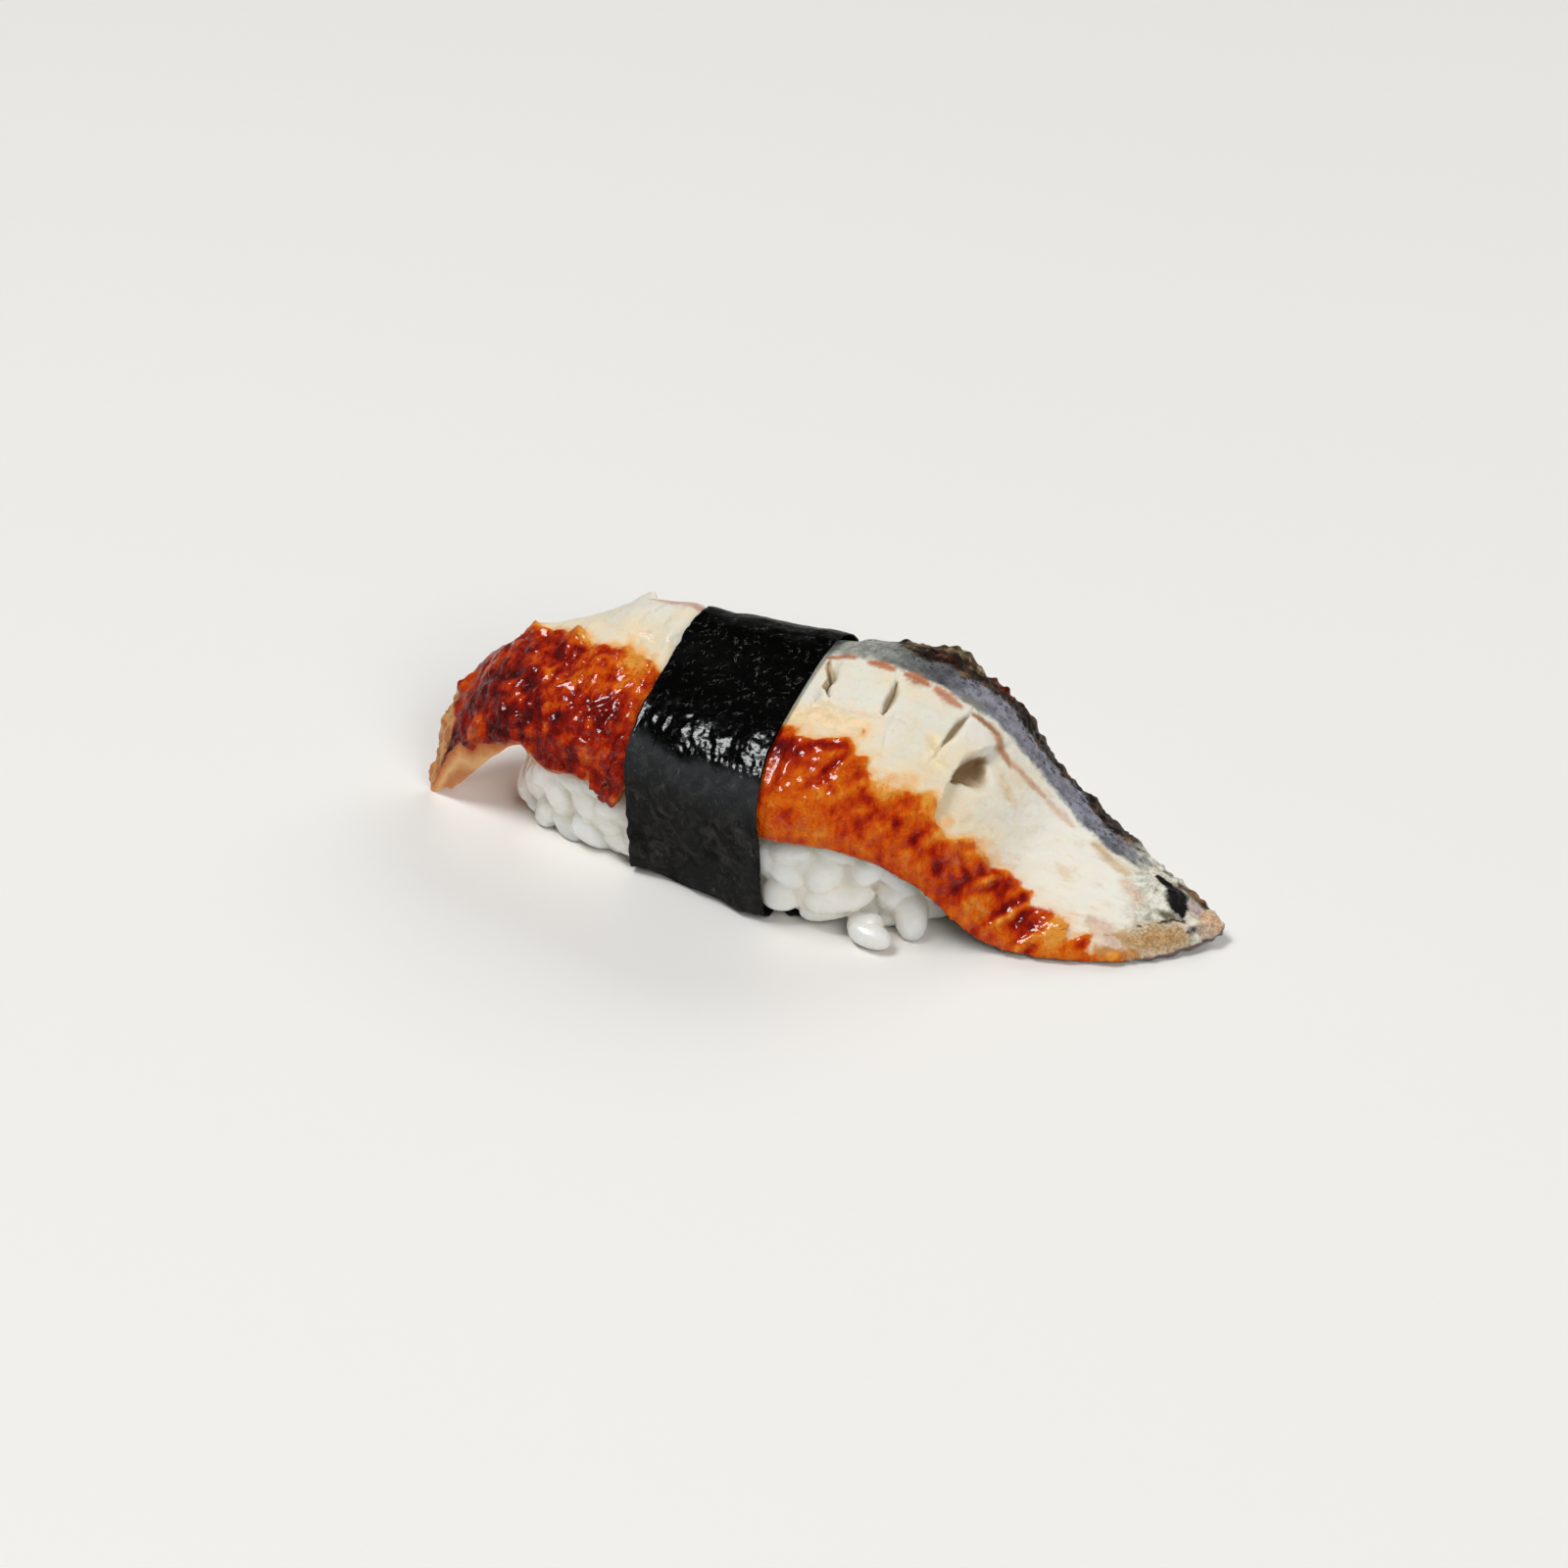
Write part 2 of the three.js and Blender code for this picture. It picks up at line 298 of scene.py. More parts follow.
eelLook = {
    "voxel": 0.25,
    "underKept": 0.8,  # share of faces kept on its hidden underside
    "crust": 0.25,  # how far the glazed crust stands above the flesh
    "lumpiness": 0.42,
    "ridges": 0.22,  # ridges and furrows of the glaze
    "char": 0.3,  # roughness of the burnt edge
    "shingle": 0.2,  # steps between flakes of flesh
    "hump": 0.9,  # how far it rises at the back beside the band
    "swell": 0.3,  # how far the band squeezes it out at both sides
    "lowest": 0.05,
    "gapSides": (0.45, 1.6),  # how wide a gap's steep and its shelving side are
    "strayDrop": (15.6, -4.6),  # a drop of glaze on the flesh
    # stretches of x over which it changes
    "held": (8.5, 10.0),  # nearer to the middle the band holds it smooth
    "flap": (22.5, 24),  # beyond this on the left it hangs free and shows its side
    "scorched": (23, 29),
    "whiter": (27, 36),
    "bulges": (43, 47),
    "gristly": (42.5, 46.5),
    "flesh": [(0.3, (228, 225, 214)), (0.5, (229, 223, 206)), (0.72, (232, 218, 190))],
    "gristle": [(0.34, (150, 146, 128)), (0.5, (204, 202, 186)), (0.66, (236, 232, 220))],
    "crumbs": [(0.36, (40, 32, 30)), (0.5, (150, 142, 134)), (0.66, (300, 296, 288))],
    "burnt": [(0.36, (16, 13, 12)), (0.52, (44, 34, 28)), (0.62, (82, 64, 46)), (0.74, (136, 114, 86))],
    "belly": [(0.35, (64, 50, 48)), (0.5, (98, 78, 70)), (0.7, (134, 104, 82))],
    "cutSide": [(0.0, (196, 96, 38)), (0.2, (212, 138, 74)), (0.5, (231, 182, 122)), (0.85, (202, 130, 74))],
    "sauce": [  # orange where it is thin, dark red where it pooled or caught
        (0.06, (236, 156, 60)), (0.24, (224, 108, 12)), (0.4, (206, 72, 3)), (0.54, (176, 36, 2)),
        (0.68, (134, 15, 4)), (0.86, (92, 9, 6)), (1.0, (58, 9, 9)),
    ],
    "hide": [  # colour of the skin along x
        (8, (178, 178, 166)), (13, (158, 160, 152)), (17, (120, 122, 120)), (20, (94, 94, 98)),
        (22.5, (150, 149, 158)), (34, (148, 147, 160)), (42, (134, 134, 142)), (46, (196, 196, 184)),
    ],
}

# borders on the slice, as x and y seen from above: the glaze lies in front of the first one
glazeEdge = [
    (-30, 16), (-28, 9), (-26.8, 5.1), (-24.5, 2.6), (-22, 2.4), (-20.3, 3), (-19.3, 1.9), (-17, 0.2),
    (-14, 0.7), (-12, -0.3), (-9.7, -1.3), (0, -4.5), (7.6, -7.1), (10, -6.7), (13, -5.9), (14.5, -5.9),
    (16, -6.8), (17.3, -7.9), (19.1, -8.4), (20.3, -8.2), (21.2, -7.4), (23, -6.6), (24.3, -6.4),
    (25.2, -7.5), (27.1, -6.9), (29.4, -6.2), (31, -5.4), (33, -5.1), (34, -4.7), (35.4, -5.3),
    (37, -5.6), (38.6, -6.3), (40.4, -6.6), (42.2, -6.9), (43.9, -7.1), (45.5, -6.9), (47, -8),
    (49, -12),
]
skinEdge = [  # the skin lies behind this one
    (-34, 12), (-26, 9.6), (-20, 10.2), (-14, 10.4), (-9, 10.2), (0, 7.0), (7, 4.9), (13, 5.0),
    (18.8, 5.0), (22.7, 5.5), (25.8, 6.6), (29, 6.8), (32.4, 7.4), (34.2, 7.0), (35.7, 6.2),
    (37.6, 5.6), (39.6, 4.8), (41.4, 4.6), (43.2, 4.2), (45.1, 3.8), (47, 3.4), (50, 2.6), (54, 1.8),
]
charEdge = [  # and the burnt crest behind this one
    (-34, 13), (-26, 11), (-14, 11.8), (-9, 11.6), (0, 11), (6.8, 10.6), (13.4, 9.8), (15.2, 8.7),
    (18.3, 8.0), (20.6, 8.5), (22.5, 9.2), (24.5, 9.9), (28, 9.8), (31.3, 10.2), (34.8, 9.9), (37, 8.8),
    (39.1, 7.9), (42.9, 6.6), (46.8, 5), (50, 3.8), (54, 2.4),
]
# the lowest rim of the glaze on the hanging end: x and height
flapRim = [
    (-36, 0.4), (-34.5, 1.6), (-33.1, 4.1), (-32.1, 5.9), (-30.6, 7.7), (-28.7, 7.7), (-27.6, 9),
    (-24.7, 10.2), (-23, 9.5),
]
# how far the front edge hangs below its even line
edgeDrop = [
    (-36, 0), (-34.3, 0.9), (-32, 1.7), (-29, 1.5), (-26, 0.9), (-24, 0.2), (-22.4, -0.1), (-21.4, 0.8),
    (-19, 1.3), (-17.4, 1.1), (-15.8, 0.6), (-14, 0.7), (-13.6, 0.4), (-13.0, 1.8), (-12.0, 2.1),
    (-10.6, 1.8), (-9.9, 1.0), (-9.4, 0.2), (-8, 0), (54, 0),
]
# gaps between flakes: a path, its width and depth
gaps = [
    ([(7.9, 4.2), (8.3, 2.5), (9.3, 0.9), (9.2, -0.4), (10.2, -1.6)], 0.36, 2.0),
    ([(8.5, -1.8), (9.5, -3.1)], 0.2, 0.35),
    ([(8.1, -3.3), (9.1, -4.4), (8.5, -5.6), (7.5, -6.4)], 0.2, 0.5),
    ([(16.0, 3.1), (16.2, 1.6), (16.2, 0.1), (16.4, -1.6)], 0.42, 1.2),
    ([(16.4, -1.5), (17.6, -1.1)], 0.16, 0.4),
    ([(23.7, 4.3), (23.3, 2.6), (23.1, 1.0), (22.9, -0.7)], 0.32, 1.0),
]
hollow = ([(26.7, 2.3), (25.3, -2.2)], 1.0, 1.7)  # the widest gap
backFlake = ((-20.7, 9.2), (-15.3, 9.6), 1.3)  # a thin flake that stands up behind: ends and height
# height and x of the hanging end's bare rim
endRim = [
    (0, -34.0), (2.7, -33.8), (5.3, -32.9), (8.2, -32.2), (10, -33.2), (12, -36),
]
# edges where one flake lies over the next: points and how strong the step is
shingles = [
    ([(7.9, 4.1), (9.2, 0.9), (9.2, -0.5), (10.3, -1.8)], 1.1),
    ([(12.2, 2.9), (13.1, 0.9), (14.1, -1.4), (15.1, -2.5)], 0.7),
    ([(15.9, 3.1), (16.4, -1.4), (17.6, -1.2), (17.4, -2.8), (17.8, -4.4)], 0.6),
    ([(23.6, 4.2), (23.1, 1.0), (22.8, -1.4)], 0.9),
    ([(8.5, -4.0), (9.8, -3.1), (11.3, -2.7), (13.6, -2.9), (15.1, -2.5)], -0.9),
    ([(26.5, 2.9), (25.8, 1.3), (25.1, -0.3), (24.9, -2.0), (24.8, -3.3),
      (24.8, -4.5), (24.9, -5.6), (24.8, -7.2)], 3.2),
]
# lumps on the crust and along the crest: x, y, radius, height
swellings = [
    (19.4, 12.4, 2.0, 0.9), (27.3, 12.4, 0.8, 0.6), (35.6, 11.0, 1.0, 0.5), (41.0, 8.6, 1.0, 0.5),
    (23.4, 12.4, 0.45, 0.5), (24.7, 12.3, 0.3, 0.6), (26.1, 12.5, 0.4, 0.4), (13.8, 11.4, 0.7, 0.4),
    (52.6, 1.6, 0.9, 0.45), (53.4, 0.2, 0.7, 0.3), (-32.8, -0.3, 0.8, 0.8), (-33.6, -2.6, 0.8, 0.5),
    (-26.5, 4.2, 1.3, 0.8), (-24.2, 1.6, 0.8, -0.6), (-20.0, 2.2, 1.5, 0.5), (-12.4, -7.5, 2.2, 0.5),
    (-23.2, -5.4, 1.0, -0.4), (-27.5, -4.6, 1.4, 0.4), (-17.0, -4.0, 1.6, 0.35),
    (24.6, -10.4, 1.0, -0.3), (28.9, -8.5, 1.0, -0.3), (31.0, -5.9, 0.7, -0.25), (32.4, -5.4, 0.5, 0.4),
    (27.0, -8.2, 0.9, 0.25),
]
# where the glaze is caught dark (above 0) or lies thin and bright: x, y, radius, amount
heatSpots = [
    (-31.0, -5.8, 1.6, 0.22), (-28.7, -5.6, 1.5, 0.25), (-28.3, -2.7, 1.4, 0.2),
    (-26.5, -7.7, 1.2, 0.25), (-32.5, -5.4, 1.0, 0.25), (-24.5, -8.3, 1.1, 0.2),
    (-23.0, -5.1, 0.8, 0.4), (-22.4, -8.8, 0.8, 0.25), (-21.3, -7.5, 0.6, 0.25),
    (-12.4, -7.6, 2.2, 0.25), (-13.6, -9.6, 1.0, 0.1), (-23.0, 0.9, 1.2, 0.12), (-20.7, -1.6, 1.2, 0.2),
    (-19.0, -8.6, 1.0, 0.15), (-18.3, -10.2, 1.0, 0.15), (-26.0, -3.8, 1.2, 0.2),
    (-15.4, -10.3, 0.9, 0.15), (-26.5, 3.4, 1.1, -0.35), (-24.6, 1.0, 0.6, -0.15),
    (-17.4, -6.4, 0.8, 0.15), (-20.2, 1.6, 0.9, -0.25), (-19.0, 1.4, 0.8, -0.3),
    (-13.0, -1.5, 1.5, -0.28), (-11.3, -2.4, 1.4, -0.3), (-16.5, -4.2, 1.3, -0.22),
    (-14.9, -5.1, 1.0, -0.22), (-21.2, -3.6, 0.7, -0.2), (-12.8, -4.4, 0.7, -0.35),
    (-14.2, -9.0, 0.6, -0.3), (-19.1, -9.1, 0.5, -0.3), (-27.2, -7.8, 0.8, -0.3),
    (-21.1, -9.6, 0.7, -0.4), (-13.8, -10.8, 0.6, -0.35), (7.6, -9.4, 1.4, 0.22), (9.4, -9.0, 1.8, 0.2),
    (11.4, -7.6, 1.4, 0.18), (14.2, -8.4, 1.1, 0.1), (11.2, -15.0, 0.6, 0.15),
    (13.3, -13.2, 2.4, -0.06), (18.0, -12.0, 2.4, -0.1), (17.7, -9.6, 1.0, -0.08),
    (24.0, -7.4, 1.1, -0.28), (20.6, -9.6, 1.2, -0.2), (19.1, -10.8, 0.6, 0.2), (26.4, -7.6, 0.8, -0.2),
    (31.3, -9.9, 1.2, -0.1), (34.4, -9.4, 1.5, -0.14), (37.5, -8.8, 1.5, -0.1), (40.5, -8.2, 1.6, -0.2),
    (24.2, -10.8, 0.7, 0.3), (26.4, -10.4, 0.7, 0.36), (28.9, -8.5, 0.6, 0.32), (30.1, -7.2, 0.7, 0.35),
    (31.1, -5.8, 0.5, 0.35), (28.4, -10.0, 0.6, 0.2), (22.0, -10.7, 0.5, 0.25), (34.5, -6.2, 0.6, 0.2),
    (33.0, -7.6, 0.7, 0.15), (21.0, -13.2, 0.6, 0.15), (16.0, -13.0, 0.5, 0.12),
    (9.4, -13.2, 0.6, 0.15),
]
# strips of other colours along a path: x, y and half width of each point, colour, how soft the edge is
strips = [
    ([(7.9, 4.4, 0.35), (9.1, 4.8, 0.5), (10.4, 4.8, 0.4)], (188, 128, 96), 0.8),
    ([(12.5, 4.7, 0.4), (13.7, 4.7, 0.6), (15.0, 4.4, 0.4)], (190, 126, 92), 0.8),
    ([(16.7, 4.4, 0.35), (17.8, 4.4, 0.8), (19.0, 4.5, 0.4)], (188, 126, 92), 0.8),
    ([(20.1, 4.4, 0.4), (21.3, 4.4, 0.7), (22.6, 4.5, 0.4)], (196, 142, 114), 0.8),
    ([(24.2, 4.9, 0.3), (25.9, 5.2, 0.5), (26.8, 5.2, 0.55)], (168, 126, 94), 0.7),
    ([(26.9, 5.0, 0.5), (27.5, 4.4, 0.5), (28.6, 4.2, 0.4)], (194, 148, 118), 0.7),
    ([(28.7, 4.3, 0.4), (29.8, 4.7, 0.4), (31.1, 5.0, 0.35), (32.2, 5.4, 0.25)], (214, 174, 148), 0.9),
    ([(32.7, 5.3, 0.4), (34.4, 5.3, 0.5), (35.6, 4.9, 0.3)], (226, 202, 182), 1.0),
    ([(38.5, 4.3, 0.4), (39.8, 3.8, 0.6), (41.2, 3.2, 0.6), (42.6, 2.6, 0.5)], (214, 190, 156), 1.0),
    ([(43.1, 1.1, 0.6), (44.6, 0.3, 0.8), (45.3, -0.6, 0.6)], (226, 208, 188), 1.0),
    ([(41.8, -5.0, 0.6), (43.4, -5.5, 1.0), (44.8, -5.9, 0.9)], (226, 200, 180), 0.9),
    ([(43.6, -5.9, 0.2), (46.0, -5.2, 0.9), (47.7, -4.3, 1.4), (49.4, -3.0, 1.3), (50.7, -2.1, 0.9)],
     (202, 168, 122), 0.9),
    ([(43.5, -7.5, 0.6), (45.5, -6.8, 0.6), (47.2, -5.8, 0.6)], (206, 150, 92), 0.8),
    ([(48.2, -0.9, 0.5), (49.2, -0.8, 0.6)], (116, 110, 92), 0.7),
    ([(48.2, -2.1, 0.12), (49.0, -1.5, 0.2), (49.7, -1.1, 0.25), (50.4, -0.6, 0.3)], (76, 68, 58), 0.6),
    ([(45.6, 4.3, 0.3), (47.0, 3.9, 0.5), (47.9, 3.2, 0.9), (48.6, 2.3, 1.3),
      (49.1, 1.4, 1.2), (49.5, 0.6, 0.8), (49.9, -0.1, 0.4)], (30, 29, 30), 0.35),
    ([(49.6, 0.0, 0.25), (49.9, -0.5, 0.3)], (170, 170, 166), 0.7),
    ([(46.4, -3.4, 0.15), (46.7, -3.4, 0.18)], (80, 70, 60), 0.7),
    ([(51.3, -1.3, 0.35), (51.8, -0.8, 0.3)], (84, 76, 72), 0.7),
    ([(50.3, 2.3, 0.8), (51.1, 1.7, 0.8)], (192, 178, 180), 0.6),
    ([(51.9, 1.5, 0.8), (53.0, 1.3, 1.1), (53.6, 0.9, 0.8)], (214, 180, 150), 0.6),
    ([(52.3, -0.3, 0.6), (53.0, 0.2, 0.8)], (200, 178, 158), 0.6),
    ([(48.3, 4.7, 0.7), (49.4, 4.4, 0.8), (50.6, 3.6, 0.7), (51.6, 2.8, 0.5)], (116, 90, 64), 0.5),
    ([(-15.5, 8.9, 0.4), (-11.6, 8.6, 0.9), (-8.0, 8.4, 0.9)], (206, 164, 148), 0.7),
    ([(-10.4, -9.7, 0.3), (-9.4, -9.0, 0.35)], (230, 176, 156), 0.4),
    ([(32.1, -6.0, 0.3), (32.7, -4.9, 0.35)], (230, 180, 160), 0.4),
    ([(17.6, 9.8, 0.6), (19.8, 9.8, 0.6)], (84, 54, 40), 0.4),
    ([(14.6, 10.7, 0.5), (16.2, 10.7, 0.6)], (172, 144, 108), 0.4),
    ([(19.2, 12.2, 0.9), (22.2, 12.2, 1.0)], (152, 136, 102), 0.4),
    ([(23.4, 12.4, 0.6), (25.8, 12.4, 0.6)], (128, 44, 26), 0.4),
    ([(28.8, 1.9, 0.6), (29.9, 1.3, 0.6)], (230, 212, 180), 1.0),
    ([(22.8, 5.9, 0.5), (24.2, 6.4, 0.6)], (132, 132, 122), 0.8),
    ([(8.0, -5.2, 0.9), (10.0, -4.5, 1.2), (12.5, -4.4, 1.3), (14.8, -4.0, 0.9)], (244, 220, 178), 0.9),
    ([(22.2, -1.2, 0.8), (23.4, -3.0, 1.2)], (242, 226, 190), 1.0),
]



# distance from the stretch a-b, how far along it, and which side (1 is left of the way it runs)
def fromSegment(plan, a, b):
    a, b = np.array(a), np.array(b)
    run = b - a
    t = np.clip(((plan - a) @ run) / (run @ run), 0, 1)
    away = plan - (a + t[:, None] * run)
    side = np.sign(run[0] * (plan[:, 1] - a[1]) - run[1] * (plan[:, 0] - a[0]))
    return np.hypot(away[:, 0], away[:, 1]), t, side


def fromPath(plan, path):
    nearest, sign = np.full(len(plan), far), np.zeros(len(plan))
    for a, b in zip(path, path[1:]):
        distance, _, side = fromSegment(plan, a, b)
        closer = distance < nearest
        nearest[closer], sign[closer] = distance[closer], side[closer]
    return nearest, sign


# steep on one side, where a flake ends, and shelving on the other
def gapDepth(plan, path, width, depth):
    steep, shelving = eelLook["gapSides"]
    nearest, deep = np.full(len(plan), far), np.zeros(len(plan))
    for k, (a, b) in enumerate(zip(path, path[1:])):
        away, t, side = fromSegment(plan, a, b)
        run = (k + t) / (len(path) - 1)
        tapering = np.sin(np.pi * np.clip(run, 0.06, 0.94)) ** 0.7
        wide = np.where(side < 0, steep, shelving) * width * tapering
        closer = away < nearest
        deep = np.where(closer, depth * bell(away, np.maximum(wide, 0.05)) * (away < 3 * wide), deep)
        nearest = np.minimum(nearest, away)
    return deep


# how much a face looks outwards (1), sideways (0) or down at the rice (-1)
def outwardness(points, normals):
    spoke = points * [0, 1, 1] + [0, 0, 20]
    spoke /= np.linalg.norm(spoke, axis=1)[:, None]
    return np.sum(spoke * normals, axis=1)


def thinUnderside(mesh, share):
    facing = outwardness(meshPoints(mesh), meshNormals(mesh))
    thing = addObject("eelCoarse", mesh)
    group = thing.vertex_groups.new(name="under")
    for index in np.flatnonzero(facing < -0.3):
        group.add([int(index)], 1.0, "REPLACE")
    fewer = thing.modifiers.new("fewer", "DECIMATE")
    fewer.ratio = share
    fewer.vertex_group = "under"
    return applied(thing)


# the front edge hangs unevenly, lower where the glaze dripped
def sagFrontEdge(mesh):
    points = meshPoints(mesh)
    x, y, z = points.T
    first, count = -40, 100  # one bin for each millimetre of x
    bins = np.clip(np.round(x).astype(int) - first, 0, count - 1)
    front = y < -3.5
    lowest = np.full(count, 30.0)
    np.minimum.at(lowest, bins[front], z[front])
    smoothed = np.convolve(np.pad(lowest, 1, "edge"), [0.25, 0.5, 0.25], "valid")
    level = np.interp(x, np.arange(count) + first, smoothed)
    nearEdge = ease(level + 3.2 - z, 0, 3.0) * ease(-y, 3.5, 5.5)
    uneven = 0.25 * lumps(points, 1.1, 18) * ease(-x, *eelLook["held"])
    points[:, 2] -= nearEdge * (along(x, edgeDrop) + uneven)
    setPoints(mesh, points)


# the slice's surface: where each point lies, and how far it is inside glaze, skin and char
class EelSurface:
    def __init__(self, mesh):
        self.points, self.normals = meshPoints(mesh), meshNormals(mesh)
        self.x, self.y, self.z = self.points.T  # views, which follow when the points move
        self.plan = self.points[:, :2]
        self.facing = outwardness(self.points, self.normals)
        self.outer = ease(self.facing, -0.05, 0.3)
        self.left = ease(-self.x, 6, 10)
        self.right = 1 - self.left
        self.findBorders()

    def lumps(self, size, seed, squash=(1, 1, 1)):
        return lumps(self.points * squash, size, seed)

    def findBorders(self):
        x, y, z = self.x, self.y, self.z
        # the ridges of glaze run down and to the left
        self.slant = np.column_stack([x - 0.5 * (y + z), 0.22 * (y + z), 0 * x])
        ragged = 0.8 * self.lumps(3.4, 1) + 0.5 * self.lumps(1.5, 2) + 0.3 * self.lumps(0.7, 3)
        ragged += 1.5 * lumps(self.slant, 1.3, 53) * self.right
        glaze = along(x, glazeEdge) - y + ragged * (0.7 + 0.3 * self.left)
        dropX, dropY = eelLook["strayDrop"]
        self.glaze = np.maximum(glaze, 0.35 - 1.2 * np.hypot((x - dropX) * 1.6, y - dropY))
        self.skin = y - along(x, skinEdge) + 0.4 * self.lumps(2.0, 4) + 0.2 * self.lumps(0.8, 5)
        self.char = y - along(x, charEdge) + 0.7 * self.lumps(2.4, 6) + 0.4 * self.lumps(0.9, 7)
        onFlap = ease(-x, *eelLook["flap"])
        rim = (along(x, flapRim) - z + 0.5 * self.lumps(1.5, 8)) * onFlap + far * (onFlap - 1)
        self.side = np.where(y < -4.5, rim, -9)
        self.crusted = ease(self.glaze, -0.25, 0.45) * self.outer * ease(-self.side, -0.2, 0.3)

        patchy = ease(self.lumps(4.5, 19), -0.5, 0.5)  # some stretches are wrinkled, others lie smooth
        wrinkles = 0.5 * pillows(self.points, 1.1, 11) - 0.25
        self.knobs = 0.9 * self.lumps(3.6, 9) + 0.5 * self.lumps(1.7, 10) + patchy * wrinkles
        self.ridges = ease(self.glaze, 7.0, 3.0) * lumps(self.slant, 1.0, 20) * (0.5 + patchy)


def crustRelief(s):
    height = eelLook["crust"] + eelLook["lumpiness"] * (0.4 + 0.6 * s.left) * s.knobs
    furrows = 0.5 - np.abs(lumps(s.slant, 1.5, 55))
    height += eelLook["ridges"] * (s.ridges * s.right + furrows * s.left)
    height += (0.15 + 0.03 * s.left) * s.lumps(0.8, 54)
    rimCrumbs = s.lumps(1.0, 17) + s.left * s.lumps(0.5, 57)
    height += bell(s.facing - 0.1, 0.3) * (0.3 + 0.25 * s.left) * rimCrumbs
    return s.crusted * height


def charRelief(s):
    crisp = 0.5 * s.lumps(1.7, 12) + 0.7 * s.lumps(0.85, 13) + 0.7 * s.lumps(0.5, 56)
    return eelLook["char"] * ease(s.char, -0.2, 0.6) * s.outer * ease(s.x, 9, 20) * crisp


# flakes, the gaps between them and fine fibres across; also gives how deep the gaps and the hollow are
def fleshRelief(s):
    flesh = s.outer * (1 - ease(s.glaze, -0.4, 0.2)) * (1 - ease(s.skin, -0.2, 0.5))
    height = 0.1 * s.lumps(1.3, 15, (0.6, 1, 1)) + 0.07 * s.lumps(0.7, 58, (0.35, 1, 1))
    for path, strength in shingles:
        away, sign = fromPath(s.plan, path)
        stepped = np.where(sign < 0, np.exp(-away / 2.2), -np.exp(-away / 1.6))
        height += eelLook["shingle"] * strength * stepped * ease(5 - away, 0, 3)
    pit = gapDepth(s.plan, *hollow)
    cut = pit
    for gap in gaps:
        cut = np.maximum(cut, gapDepth(s.plan, *gap))
    return flesh * (height - cut), flesh * cut, pit


def shapeRelief(s):
    swollen = np.zeros(len(s.points))
    for cx, cy, radius, height in swellings:
        swollen += height * bell(np.hypot(s.x - cx, s.y - cy), radius)
    relief = s.outer * swollen * (1 + 0.4 * s.lumps(0.7, 14))
    relief += s.outer * eelLook["swell"] * bell(np.abs(s.x) - 10.0, 1.3)
    away, t, _ = fromSegment(s.plan, *backFlake[:2])
    relief += s.outer * backFlake[2] * t * bell(away, 0.4)
    relief += (1 - s.outer) * 0.1 * s.lumps(1.8, 16)
    return relief + ease(s.x, *eelLook["bulges"]) * 0.3 * (s.lumps(1.3, 51) + 0.8 * s.lumps(0.6, 52))


# how dark the glaze is, apart from the noise that the material adds
def glazeHeat(s):
    heat = 0.1 * s.left + 0.08 * ease(-s.x, 20, 26) - 0.06 * ease(-s.y, 9, 13) * s.right
    upperBand = ease(s.glaze, 0.6, 2.0) * ease(s.glaze, 6.5, 3.5) * ease(22 - s.x, 0, 6)
    heat += s.right * (0.1 * upperBand - 0.28 * s.ridges)
    for cx, cy, radius, amount in heatSpots:
        heat += amount * bell(np.hypot(s.x - cx, s.y - cy), radius)
    return heat


# the strongest strip at each point: how far inside it, and its colour
def stripFields(s):
    count = len(s.points)
    patch, softness, colour = np.full(count, -far), np.full(count, 0.5), np.zeros((count, 4))
    for path, rgb, soft in strips:
        inside = np.full(count, -far)
        for (ax, ay, aw), (bx, by, bw) in zip(path, path[1:]):
            away, t, _ = fromSegment(s.plan, (ax, ay), (bx, by))
            inside = np.maximum(inside, 1 - away / (2 * (aw + t * (bw - aw))))
        better = inside > patch
        patch[better], softness[better], colour[better] = inside[better], soft, paint(rgb)
    return np.maximum((patch - 0.5) / softness, -3), colour


def buildEel():
    mesh = thinUnderside(softCopy("eel_slice", eelLook["voxel"]), eelLook["underKept"])
    sagFrontEdge(mesh)
    s = EelSurface(mesh)
    flesh, cut, pit = fleshRelief(s)
    lift = crustRelief(s) + charRelief(s) + flesh + shapeRelief(s)
    free = ease(np.abs(s.x), *eelLook["held"])
    behind = ease(-s.x, 3, 9) * ease(22 + s.x, 0, 8) * ease(s.y, 1, 7)
    hump = s.outer * eelLook["hump"] * behind  # it rises behind, on to under the band
    s.points += s.normals * (lift * free - (1 - free) * 0.06 + hump)[:, None]
    s.points[:, 2] = np.maximum(s.points[:, 2], eelLook["lowest"])
    setPoints(mesh, s.points)

    patch, patchColour = stripFields(s)
    lookUp = s.normals[:, 2] - 0.7 * np.maximum(-s.normals[:, 0], 0) - 0.45 * ease(s.x, 34, 38)
    fields = {
        "glaze": s.glaze,
        "skin": s.skin,
        "char": s.char,
        "facing": s.facing,
        "side": s.side,  # inside the bare side of the hanging end
        # how deep the gaps and the hollow are, which the material darkens as painted shade
        "cut": np.clip(cut, 0, 2),
        "pit": pit,
        "rim": along(s.z, endRim) - s.x,  # inside the bare rim at its end
        "scorch": ease(-s.x, *eelLook["scorched"]) * ease(s.glaze, 0.8, 3.0),
        "knob": s.knobs,
        "warm": glazeHeat(s),
        "patch": patch,
        "left": s.left,
        "tip": ease(s.x + 0.3 * s.y, *eelLook["gristly"]),
        "up": lookUp,  # towards the lamp, so that wet spots catch it
        "pale": ease(s.x, *eelLook["whiter"]),
    }
    for name, values in fields.items():
        addField(mesh, name, values)
    addColours(mesh, "patchColour", patchColour)
    addColours(mesh, "hideColour", colourAlong(s.x, eelLook["hide"]))
    say(f"eel, {len(mesh.polygons)} faces")
    return addObject("grilledEel", mesh)
